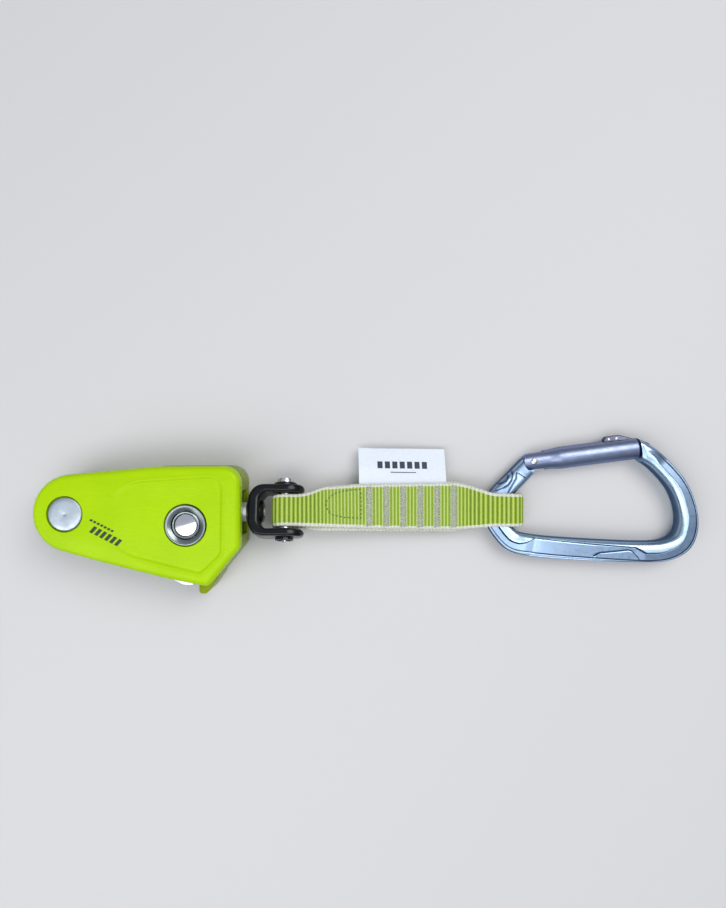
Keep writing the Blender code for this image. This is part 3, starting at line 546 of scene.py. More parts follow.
def build_cover():
    angles = np.linspace(0, tau, 420, endpoint=False)
    hole, barrel, floor, under = 9.0, 7.5, 25.6, RIM + 2.5
    rings = [round_lock(angles, barrel, z) for z in (under, 24.5, floor)]
    rings += [round_lock(angles, hole, z) for z in (floor, 26.9)]
    start, end = hole + 0.15, SHELL.reach(LOCK_AT, angles, 2.9)
    rings += [round_lock(angles, start + (end - start) * share) for share in np.linspace(0, 1, 84)]
    rings += [along_shell(angles, t) for t in (2.5, 2.1, 1.75, 1.4, 1.1, 0.8, 0.55, 0.35, 0.18, 0.06, 0.0)]
    rings += [along_shell(angles, 0, z) for z in (24.2, 22.6, RIM + 0.3)]
    rings += [along_shell(angles, inset, z) for inset, z in ((0.3, RIM), (2.1, RIM), (2.1, under))]
    cover = loft("cover_shell", rings, LIME, True, 50)
    drill(cover, 7.7, floor, 40)
    drill(cover, 4.3, 15, 40)
    piece(smooth(cover, 38), "swing_cover", "lime_shell", "front_shell")


def build_back():
    angles = np.linspace(0, tau, 300, endpoint=False)
    floor, rim, hole, recess, bore = 4.7, 7.2, 7.7, 2.4, 4.8
    rings = [round_lock(angles, bore, z) for z in (recess, floor)]
    sides = ((2.1, floor), (2.1, rim), (0.4, rim), (0, rim - 0.4), (0, 2.2))
    rings += [along_shell(angles, inset, z) for inset, z in sides]
    for turn in np.radians((15, 30, 45, 60, 75, 90)):
        rings.append(along_shell(angles, 2 * (1 - cos(turn)), 2 * (1 - sin(turn))))
    rings += [round_lock(angles, reach, z) for reach, z in ((hole + 0.3, 0), (hole, 0.3), (hole, recess))]
    back = loft("base_shell", rings, LIME_SHADED, True, 50)
    drill(back, hole, -5, recess)
    drill(back, 5.9, -6, 12)
    piece(smooth(back, 38), "housing", "lime_shell", "back_shell")

    # the end wall stands on the rim in two stretches, one each side of the swivel's seat
    stretches = (("upper", (73.8, 9.7), (62, 20)), ("lower", (53.7, -29.5), (73.5, -9.7)))
    section = [(0, 6.4), (0, WALL_TOP - 0.7), (0.1, WALL_TOP - 0.35), (0.35, WALL_TOP - 0.1), (0.7, WALL_TOP)]
    section += [(2.1, WALL_TOP), (2.4, WALL_TOP - 0.1), (2.6, WALL_TOP - 0.4), (2.6, 6.4)]
    for name, *ends in stretches:
        chosen = np.linspace(*(atan2(y - LOCK_AT[1], x - LOCK_AT[0]) for x, y in ends), 72)
        lines = [along_shell(chosen, inset, z) for inset, z in section]
        wall = loft(f"end_wall_{name}", np.swapaxes(lines, 0, 1), LIME_SHADED, smooth_angle=50)
        piece(wall, "housing", "lime_shell")
    tooth = [(56.7, -34.8), (58.2, -34.8), (59, -34.1), (63.2, -28.2), (64.6, -25.2), (62, -22), (55.2, -22)]
    tooth += [(55.2, -33.7), (55.4, -34.3), (55.9, -34.7)]
    made = prism("rope_tooth", pivot_outline(tooth), 1.4, WALL_TOP, LIME_SHADED)
    piece(round_edges(made, 0.55, 45), "housing", "lime_shell")


def build_jaw():
    """The cover's brake jaw, a steel block whose lower edge shows beside the tooth."""
    corners = [(41.4, -17.2), (53, -17.2), (53.1, -30.8), (52.5, -31.3), (51.8, -31.4), (47.9, -31.1), (44.8, -29.4)]
    low, high = (corner.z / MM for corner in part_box("brake_jaw_front"))
    made = prism("jaw_block", pivot_outline(corners + [(41.6, -27.4)]), low, high - 0.1, PLATE_METAL)
    for x, y in ((44.6, -20.2), (50, -25.4)):
        drill(made, 1.25, 18.3, 40, x, y, 32)
    piece(round_edges(made, 0.3), "swing_cover", "steel", "brake_jaw_front")


def build_pivot_and_lock():
    """Turned pieces, as (radius, height from the floor)."""
    disc = [(0, 27.66), (0.4, 27.68), (0.75, 27.78), (1.1, 27.82), (3.2, 27.84), (5, 27.83), (6.5, 27.76)]
    disc += [(6.95, 27.6), (7.2, 27.35), (7.25, 27), (7.25, 25.9), (4, 25.9), (4, 3.8), (0, 3.8)]
    turned("pivot_disc", "housing", "pivot_bolt", DISC_METAL, disc, PIVOT_FOOT)
    foot = [(7.05, 2.1), (7.05, 0.9), (6.8, 0.5), (6.3, 0.3), (1.9, 0.3), (1.5, 0.6), (0, 0.7)]
    nut = [(0, 3.4), (4.3, 3.4), (4.3, 7.2), (5.6, 7.2), (5.6, 2.1)] + foot
    turned("pivot_foot", "housing", "pivot_nut", DISC_METAL, nut, PIVOT_FOOT)
    spacer = [(6.5, 20.1), (6.5, 17.5), (6.1, 17), (6.1, 10.6), (6.5, 10.1), (6.5, 7.5), (4.3, 7.5), (4.3, 20.1)]
    made = lathe("pivot_sleeve", spacer, POLISHED, PIVOT_FOOT, closed=True)
    piece(round_edges(made, 0.15, 50), "housing", "steel", "pivot_spacer")

    collar = [(6.2, 26.5), (6.2, 27), (6.75, 27.35), (7.6, 27.75), (8.0, 27.88), (8.4, 27.84), (8.65, 27.6)]
    collar += [(8.7, 27.3), (8.7, 25.9), (7.2, 25.9), (7.2, 21), (2.6, 21), (2.6, 22), (6.2, 22)]
    turned("lock_ring", "swing_cover", "lock_collar", RING_METAL, collar, LOCK_FOOT, steps=128, closed=True)
    sleeve = [(5.9, 26.2), (5.9, 22.3), (4.95, 22.3), (4.95, 26.55), (5.15, 26.8), (5.5, 26.85), (5.8, 26.7)]
    turned("lock_liner", "swing_cover", "lock_sleeve", RING_METAL, sleeve, LOCK_FOOT, steps=128, closed=True)
    button = [(0, 26.7), (4.2, 26.7), (4.5, 26.62), (4.7, 26.4), (4.7, 25.2), (2.2, 25.2), (2.2, 21.2)]
    button += [(1.7, 20.7), (0, 20.7)]
    turned("lock_push", "lock_button", "lock_button", BUTTON_METAL, button, LOCK_FOOT, steps=128)
    post = [(0, 17), (2.6, 17), (2.6, 20.1), (2.8, 20.3), (4.2, 20.3), (4.5, 20), (4.5, 2.1)] + foot
    turned("lock_pillar", "housing", "lock_post", DISC_METAL, post, LOCK_FOOT)
    groove = [(9.6, 20), (9.6, 18.9), (9.2, 18), (8.5, 16.6), (8.1, 15), (8, 13.9), (8.1, 12.8), (8.5, 11.2)]
    groove += [(9.2, 9.8), (9.6, 8.9), (9.6, 7.8), (9.3, 7.5), (4.8, 7.5), (4.8, 20.3), (9.3, 20.3)]
    turned("rope_drum", "housing", "rope_bollard", POLISHED, groove, LOCK_FOOT, closed=True)


def build_springs():
    """Coils round the lock button's axis and along the gate's plunger."""
    turn = np.linspace(0, 2.5 * tau, 80)
    x, y = LOCK.x + 0.0034 * np.cos(turn), LOCK.y + 0.0034 * np.sin(turn)
    coil = np.column_stack([x, y, np.linspace(0.02264, 0.02472, 80)])
    made = piece(thread("button_spring", [coil], 0.22, POLISHED), "swing_cover", "steel", "lock_spring")
    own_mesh(made)

    along = GATE_AXIS.normalized()
    side, up = Vector((-along.y, along.x, 0)), Vector((0, 0, 1))
    coil = []
    for place, a in zip(np.linspace(0.0122, 0.0232, 200), np.linspace(0, 8 * tau, 200)):
        coil.append(GATE + along * place + (side * cos(a) + up * sin(a)) * 0.0014)
    made = piece(thread("plunger_spring", [coil], 0.2, POLISHED), "gate", "steel", "gate_spring")
    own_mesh(made)


def build_cover_marks():
    """Two slanting rows of plain bars, where a real one has print."""
    material = ink("green_black_ink", (0.012, 0.045, 0.012), 900, 3, 0.4)
    turn = radians(-27)
    verts, faces = [], []
    rows = [(10.8, -2.2, 7, 1.65, 1.1, 0.95), (11.2, -6, 6, 2.35, 1.45, 3.2)]
    for left, base, count, pitch, width, tall in rows:
        slant = 0.28 * tall
        corners = [(0, -tall / 2), (width, -tall / 2), (width + slant, tall / 2), (slant, tall / 2)]
        for k in range(count):
            start = len(verts)
            along, up = np.array(corners).T + [[k * pitch], [0]]
            x = left + along * cos(turn) - up * sin(turn)
            y = base + along * sin(turn) + up * cos(turn)
            for level in (-0.12, 0.07):
                verts += list(from_pivot(x, y, cover_height(x, y) + level))
            faces += [tuple(start + i for i in face) for face in grid_faces(2, 4) + [(3, 2, 1, 0), (4, 5, 6, 7)]]
    piece(new_object("cover_marks", verts, faces, material, 20), "swing_cover", "lime_shell")


# ---- swivel and fork

ROLL = atan2(PIN_AXIS.z, PIN_AXIS.y)


def build_fork():
    """The fork is swept along its U; its section is a rounded slab that narrows at the leg ends."""
    mid, crown, corner = 9.75, 2.55, 5.6
    depth, room, thinning = 6.9, 7.4, 4.6
    pin_x = (PIN.x - FORK_FACE.x) / MM
    path = [(x, mid) for x in np.linspace(pin_x + 8.6, 8.2, 34)]
    for a in np.radians(np.linspace(90, 180, 22)[1:]):
        path.append((crown + corner + corner * cos(a), mid - corner + corner * sin(a)))
    path += [(crown, y) for y in np.linspace(mid - corner, 0, 10)[1:]]
    path = np.array(path + [(x, -y) for x, y in path[-2::-1]])
    turn = tau * (np.arange(40) + 0.5) / 40
    c, s = np.cos(turn), np.sin(turn)
    rings = []
    for (x, y), (nx, ny) in zip(path, normals_of(path)):
        on_leg = rise(x, 4, 8)
        past = max(0, x - pin_x - 1.2)
        deep = max(0.15, depth * sqrt(max(0, 1 - (past / (room + 0.02)) ** 2)))
        thin = sqrt(max(0, 1 - (max(0, past - thinning) / (room - thinning + 0.01)) ** 2))
        thick = (2.6 - 0.85 * on_leg) * max(thin, 0.05)
        swell = 0.35 * exp(-(((x - pin_x) / 4.2) ** 2)) * on_leg
        inner = c * (1 if y > 0 else -1) * ny < 0
        across = np.sign(c) * abs(c) ** 0.42 * (thick + swell * inner)
        rings.append(np.column_stack([x + nx * across, y + ny * across, np.sign(s) * abs(s) ** 0.38 * deep]))
    fork = loft("fork_body", np.array(rings) * MM, FORK_BLACK, smooth_angle=60)
    fork.matrix_world = Matrix.Translation(FORK_FACE) @ Matrix.Rotation(ROLL, 4, "X")
    piece(fork, "swivel_fork", "black_fork", "fork")

    x_axis = (1, 0, 0)
    boss = [(0, 6.6), (3.4, 6.6), (4.4, 6.3), (5.2, 5.5), (5.5, 4.6), (0, 4.6)]
    piece(lathe("fork_boss", boss, FORK_BLACK, FORK_FACE, x_axis), "swivel_fork", "black_fork")
    post = [(0, 7.25), (0.9, 7.2), (1.5, 7), (1.8, 6.6), (1.8, 5.8), (2.6, 5.4), (2.6, -0.9), (4.2, -0.9)]
    post += [(4.2, -3.2), (3.7, -3.5), (3.7, -5.2), (4.2, -5.5), (4.2, -11.8), (5.2, -11.8), (5.2, -14.6), (0, -14.6)]
    turned("swivel_post", "swivel_fork", "swivel_shaft", SATIN_STEEL, post, FORK_FACE, axis=x_axis)
    bolt = [(0, 15.1), (2.4, 15.1), (3.2, 14.95), (3.55, 14.6), (3.65, 14.1), (3.65, 12.7), (3, 12.5)]
    bolt += [(3, -11.7), (1.7, -12.2), (1.7, -13.2), (1.3, -13.6), (0, -13.7)]
    turned("fork_bolt", "swivel_fork", "fork_pin", POLISHED, bolt, PIN, axis=PIN_AXIS)
    for number, side, wide, low, thick in ((1, 1, 5.2, 11.3, 1.35), (2, -1, 4.2, 11.2, 0.6)):
        top = low + thick
        ring = [(wide, low), (wide, low + thick * 0.7), (wide - 0.3, top), (3.1, top), (3.1, low)]
        made = lathe(f"fork_washer_{number}", ring, FORK_BLACK, PIN, PIN_AXIS * side, closed=True)
        piece(made, "swivel_fork", "black_fork")


# ---- webbing

SLOPE = atan2(PIN.z - FLEX.z, FLEX.x - PIN.x)
FLEX_AT = (FLEX - PIN).length / MM
WEB_HALF = 0.85
SEWN_AT = 1.3  # each layer's middle, from the sling's middle
EYE_HALF = 4.95
# The webbing's edges, as (place from the pin, height)
UPPER = [(-8, 7.0), (5, 7.1), (9.5, 7.7), (17, 10.7), (32, 11.8), (60, 12.4), (76, 12.6), (83, 11.2), (92, 8.1)]
UPPER += [(108, 7.5)]
LOWER = [(-8, -6.9), (12, -6.9), (32, -7.4), (60, -8.0), (78, -8.3), (84, -7.8), (92, -6.8), (108, -6.9)]


def smoothed(edge, x):
    """An edge line with its corners eased over a few millimetres."""
    shifts = np.linspace(-3, 3, 13)
    weights = np.exp(-((shifts / 1.6) ** 2))
    return sum(line_at(edge, np.asarray(x, float) + s) * w for s, w in zip(shifts, weights)) / weights.sum()


def sling_place(x, y, z):
    """Points from the pin (along, across, up), rolled as the webbing is there, as metres in the row frame."""
    x, y, z = (np.asarray(v, float) for v in (x, y, z))
    roll = ROLL * (1 - rise(x, 6, 60))
    across = y * np.cos(roll) - z * np.sin(roll)
    up = y * np.sin(roll) + z * np.cos(roll)
    sling_x, sling_z = x * cos(SLOPE) + up * sin(SLOPE), -x * sin(SLOPE) + up * cos(SLOPE)
    bar_drop, flex_drop = (CARABINER.z - PIN.z) / MM, (FLEX.z - PIN.z) / MM
    past = x - FLEX_AT
    eye_x = (FLEX.x - PIN.x) / MM + past
    eye_z = flex_drop + (bar_drop - flex_drop) * rise(past, -1, 9.5) + up
    share = rise(x, FLEX_AT - 3, FLEX_AT + 3)
    world_x = sling_x + (eye_x - sling_x) * share
    world_z = sling_z + (eye_z - sling_z) * share
    return np.stack([PIN.x + world_x * MM, PIN.y + across * MM, PIN.z + world_z * MM], axis=-1)


def web_path():
    """The closed middle line of the webbing, (x, z) from the pin: round the pin, out, round the bar and back."""
    pin_r, fold_x = 4.15, FLEX_AT + 20.9
    outward = [(3, 3.8), (7, 3.0), (12, 2.1), (17, 1.5), (22, SEWN_AT)]
    outward += [(x, SEWN_AT) for x in np.arange(26, FLEX_AT - 2, 4.0)]
    outward += [(FLEX_AT + x, z) for x, z in ((1.5, 1.5), (4, 2.4), (6.5, 3.7), (9.5, 4.8), (12.5, EYE_HALF))]
    points = [(1.16 * pin_r * cos(a), pin_r * sin(a)) for a in np.radians(np.arange(272, 87, -4.0))] + outward
    points += [(fold_x + EYE_HALF * cos(a), EYE_HALF * sin(a)) for a in np.radians(np.arange(90, -91, -6.0))]
    points += [(x, -z) for x, z in outward[::-1]]
    looped = np.array(points + points[:1])
    lengths = lengths_along(looped)
    fine = np.linspace(0, lengths[-1], 2400)
    pitch = np.interp(np.interp(fine, lengths, looped[:, 0]), [10, 20, 76, 84], [1.9, 1.52, 1.55, 2.0])
    turns = np.concatenate([[0], np.cumsum(np.diff(fine) / pitch[1:])])
    ribs, per_rib = round(turns[-1]), 7
    phase = np.linspace(0, ribs, ribs * per_rib, endpoint=False)
    dense = walk(looped, np.interp(phase * turns[-1] / ribs, turns, fine))
    for _ in range(8):
        dense = (np.roll(dense, 1, axis=0) + 2 * dense + np.roll(dense, -1, axis=0)) / 4
    return dense, phase * tau


def build_webbing():
    path, phase = web_path()
    ahead = unit(np.roll(path, -1, axis=0) - np.roll(path, 1, axis=0))
    crest = 0.5 + 0.5 * np.cos(phase)
    x, z = path.T
    # the under layer is a little wider, so its edges show
    under = rise(-z, 0.4, 1.1) * rise(x, 6, 15) * (1 - rise(x, 74, 84))
    low, high = smoothed(LOWER, x) - 1.25 * under, smoothed(UPPER, x) + 0.5 * under
    shares = np.concatenate([[0, 0.022, 0.05, 0.09], np.linspace(0.13, 0.87, 10), [0.91, 0.95, 0.978, 1]])
    rings, edges = [], []
    for side in (1, -1):
        for share in shares[::side]:
            y = low + (high - low) * share
            reach = np.minimum(y - low, high - y)
            selvedge = 1 - rise(reach, 1.0, 1.5)
            rounding = np.sqrt(np.clip(1 - (1 - np.minimum(reach / 0.7, 1)) ** 2, 0.03, 1))
            bump = 0.3 * (1 - (1 - crest) ** 1.7) * (1 - selvedge) + 0.2 * crest * selvedge
            bulge = 0.12 * crest * (1 - np.minimum(reach / 0.6, 1))
            half = side * (WEB_HALF - 0.16 + bump) * rounding
            y = y + np.sign(share - 0.5) * bulge
            rings.append(sling_place(x - ahead[:, 1] * half, y, z + ahead[:, 0] * half))
            edges.append(reach)
    # the rib attribute carries each rib's crest, which the webbing's material uses for its painted highlight and shade
    rib, pin = (np.repeat(values[:, None], len(rings), axis=1) for values in (crest, x))
    grid = np.swapaxes(rings, 0, 1)
    web = loft("sling_webbing", grid, WEBBING, True, 180, rib=rib, edge=np.transpose(edges), pin=pin)
    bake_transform(web)
    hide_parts("sling", "sling_eye")

    # the doubled core between the two outer layers
    xs = np.arange(13, FLEX_AT + 1, 0.43)
    half = np.minimum(0.42, 0.1 + 0.02 * (xs - 13))
    wave = 0.12 * np.cos(tau * xs / 0.86)
    low, high = smoothed(LOWER, xs) + 0.35 + wave, smoothed(UPPER, xs) - 0.35 - wave
    section = [(low, -half), (high, -half), (high + 0.12, 0 * half), (high, half), (low, half), (low - 0.12, 0 * half)]
    rings = np.swapaxes([sling_place(xs, y, z) for y, z in section], 0, 1)
    piece(loft("sling_core", rings, CORE, smooth_angle=60), "sling", "webbing")


def build_stitching():
    """Bar tacks across the sling and a seam of short stitches near the fork, on both faces."""
    surface = SEWN_AT + WEB_HALF + 0.02
    shares = np.array([0, 0.15, 0.5, 0.85])
    for number in range(6):
        middle_x = 37.2 + 7.55 * number
        ys = np.arange(line_at(LOWER, middle_x) + 0.9, line_at(UPPER, middle_x) - 1.1, 0.36)
        corners = np.arange(len(ys))
        xs = middle_x + np.where(corners % 2 == 0, -1.75, 1.75)
        places = (corners[:-1, None] + shares).ravel()
        x, y = np.interp(places, corners, xs), np.interp(places, corners, ys)
        lift = surface + np.tile(np.where(shares > 0, 0.12, -0.1), len(ys) - 1)
        lines = [sling_place(x, y, side * lift) for side in (1, -1)]
        piece(thread(f"bartack_{number + 1}", lines, 0.2, TACK), "sling", "webbing")

    corners = [(33.4, 9.6), (29.5, 9.3), (26, 8.8), (22.6, 7.9), (19.8, 6.3), (18.5, 4.6), (18.1, 2.6), (18.6, 0.8)]
    corners += [(19.6, -0.9), (21.2, -2), (26.4, -2.9), (31, -3.1), (33.4, -3.2), (33.6, 3)]
    looped = np.array(corners + corners[:1])
    arch = 0.12 * np.sin(np.linspace(0, pi, 6)) + 0.04
    lines = []
    for start in np.arange(0, lengths_along(looped)[-1] - 1.2, 1.8):
        x, y = walk(looped, np.linspace(start, start + 1, 6)).T
        rest = np.interp(x, [12, 17, 22], [2.1, 1.5, SEWN_AT]) + WEB_HALF
        lines += [sling_place(x, y, side * (rest + arch)) for side in (1, -1)]
    piece(thread("seam_stitches", lines, 0.25, SEAM_THREAD), "sling", "webbing")


def build_label():
    """A folded tag: two thin layers from inside the sling's edge out to the fold, with plain bars for print."""
    cloth = Shader("label_cloth", (0.80, 0.87, 0.94), 0.62, Sheen_Weight=0.15)
    weave = cloth.noise(2200, 2, (1, 0.5, 1))
    cloth.mottle(weave, 0.3, 0.7, (0.76, 0.83, 0.91), (0.86, 0.91, 0.96))
    cloth.add_bump(weave, 0.25, 0.00008)
    half_width, reach, tucked, part, thin, skew = 19.6, 16.3, -1.0, 0.22, 0.14, 0.022
    hang, above = 16.6, 0.4  # the label's length down to its CAD box's foot, and its height above that
    drop = (SEAM.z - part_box("label")[0].z) / MM - above - half_width * sin(SLOPE)
    slope = asin(drop / hang)
    x_axis = SEAM_AXIS.normalized()
    out = Vector((0, cos(slope), -sin(slope)))
    out = (out - out.dot(x_axis) * x_axis).normalized()
    up = x_axis.cross(out)
    seam_x = (SEAM - PIN).length / MM

    def label_place(w, y, z, share):
        """A point w along the seam and y out from it, lifted z and by the label's waves."""
        lift = 0.35 * sin(w / 9.5 + 0.6) * share + 0.5 * share**2 * (w / half_width) ** 2
        return SEAM + (x_axis * w + out * (y - skew * w * min(1, share * 3)) + up * (z + lift)) * MM

    layer = np.linspace(tucked, reach - 0.2, 26)
    fold = [(reach - 0.2 + 0.34 * sin(a), part * cos(a)) for a in np.linspace(0.3, pi - 0.3, 7)]
    line = np.array([(y, part) for y in layer] + fold + [(y, -part) for y in layer[::-1]])
    offset = thin * normals_of(line)
    section = np.concatenate([line + offset, (line - offset)[::-1]])
    sections = []
    for w in np.linspace(-half_width, half_width, 50):
        x = seam_x + w
        under = Vector(sling_place(x, smoothed(UPPER, x) - 0.8, 0.0)) - (SEAM + x_axis * w * MM)
        dip = under.dot(up) / MM
        sections.append([label_place(w, y, z + dip * (1 - rise(y, 0.2, 8)), max(0.0, y / reach)) for y, z in section])
    label = loft("side_label", sections, cloth.material, smooth_angle=60)
    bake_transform(label)
    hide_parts("label")

    verts, faces = [], []
    bars = [(-11.2 + 3.35 * k, 8.4, 2.3, 3.3) for k in range(7)] + [(-5.4, 4.9, 11.5, 0.32)]
    for x, y, width, height in bars:
        start = len(verts)
        for w in np.linspace(x, x + width, 7):
            for level, side in ((-0.01, -0.5), (-0.01, 0.5), (0.03, 0.5), (0.03, -0.5)):
                across = y + side * height
                at_skew = across + skew * w * (min(1, across / reach * 3) - 1)
                verts.append(label_place(w, at_skew, part + thin + level, across / reach))
        faces += [tuple(start + i for i in face) for face in grid_faces(7, 4) + [(3, 2, 1, 0), (24, 25, 26, 27)]]
    marks = new_object("label_marks", verts, faces, ink("label_ink", (0.03, 0.045, 0.07), 1200, 2, 0.45), 20)
    piece(marks, "label", "label_fabric")


# ---- carabiner


def smooth_path(stations, per_gap):
    points = np.array(stations, float)
    points = np.vstack([points[:1] * 2 - points[1], points, points[-1:] * 2 - points[-2]])
    t = np.arange(per_gap)[:, None] / per_gap
    path = []
    for before, start, end, after in zip(points, points[1:], points[2:], points[3:]):
        bend = (2 * before - 5 * start + 4 * end - after) * t**2 + (3 * start - before - 3 * end + after) * t**3
        path += list(0.5 * (2 * start + (end - before) * t + bend))
    return np.array(path + [points[-2]])


def line_distance(x, y, line):
    best = 1e9
    for (ax, ay), (bx, by) in zip(line, line[1:]):
        dx, dy = bx - ax, by - ay
        t = np.clip(((x - ax) * dx + (y - ay) * dy) / (dx * dx + dy * dy), 0, 1)
        best = np.minimum(best, np.hypot(x - ax - t * dx, y - ay - t * dy))
    return best


# Relief lines, as (place along the bar, place inward from its middle line)
RIDGE_LINE = [(0, -0.4), (36, -0.4), (42, -0.5), (46.5, 0), (49.5, 1.1), (52.8, 3.7), (56, 3.8), (95, 2.3)]
RIDGE_LINE += [(98.5, 2.1), (103, -0.5), (110, -0.5), (120, 0.4), (126, 0.8), (132, 0.4), (138, 0.5), (146, 0.2)]
RIDGE_LINE += [(156, 0.7), (161, 0.4), (165, -0.6), (179, -0.6)]
RIM_LINE = [(0, -3.1), (45, -3.3), (54, -2.9), (80, -3.3), (104, -3.9), (114, -3.8), (122, -3.4), (136, -3.3)]
RIM_LINE += [(149, -2.7), (164, -2.5), (179, -2.5)]
FACET_LINE = [(0, -1.8), (79.5, -2.6), (82.6, -0.9), (95.2, 0.9), (96.8, 0.4), (99.8, -2.6), (179, -1.7)]
# Grooves of the hinge arm, (x, y) from the narrow bend's centre
HINGE_LINES = [
    [(-7.4, 19.5), (-7.2, 16), (-7.5, 14), (-8.8, 11.9), (-10.7, 10.7), (-14.4, 9.4)],
    [(-9.3, 17.3), (-9, 15.4), (-9.9, 13.8), (-11.7, 12.7), (-14, 12.1)],
    [(-5.6, 17.6), (-5.4, 15), (-6.6, 12.6), (-8.5, 8.9), (-9.6, 6)],
    [(-5.6, 17.6), (-4.1, 16.7), (-1.6, 15)],
]
TAB_HALF, SLOT_HALF, THROUGH = 1.8, 2.1, 9
# Gaps between the bar's sections, as (place along the bar, gap)
STEP_LINE = [(0, 0.2), (19, 0.2), (22, 0.8), (44, 0.8), (46, 0.35), (56, 0.35), (60, 1), (77, 1), (79, 0.3)]
STEP_LINE += [(104, 0.3), (108, 0.7), (158, 0.7), (162, 0.4), (179, 0.4)]


def bar_columns(u, half):
    """Places across the bar at u, whether each is in a groove line, and where the three lines are."""
    rim, facet, ridge = (float(line_at(line, u)) for line in (RIM_LINE, FACET_LINE, RIDGE_LINE))
    edge = 0.88 * half
    rim, ridge = max(rim, 0.3 - edge), min(ridge, edge - 0.6)
    facet = min(max(facet, rim + 0.75), ridge - 0.75)
    columns = [(-edge, 0)]

    def fill(end, count):
        columns.extend((v, 0) for v in np.linspace(columns[-1][0], end, count + 2)[1:])

    for line, count in ((rim, 2), (facet, 7), (ridge, 7)):
        fill(line - 0.36, count)
        columns += [(line - 0.18, 1), (line + 0.14, 1), (line + 0.34, 0)]
    fill(edge, 11)
    return np.array(columns).T, rim, facet, ridge


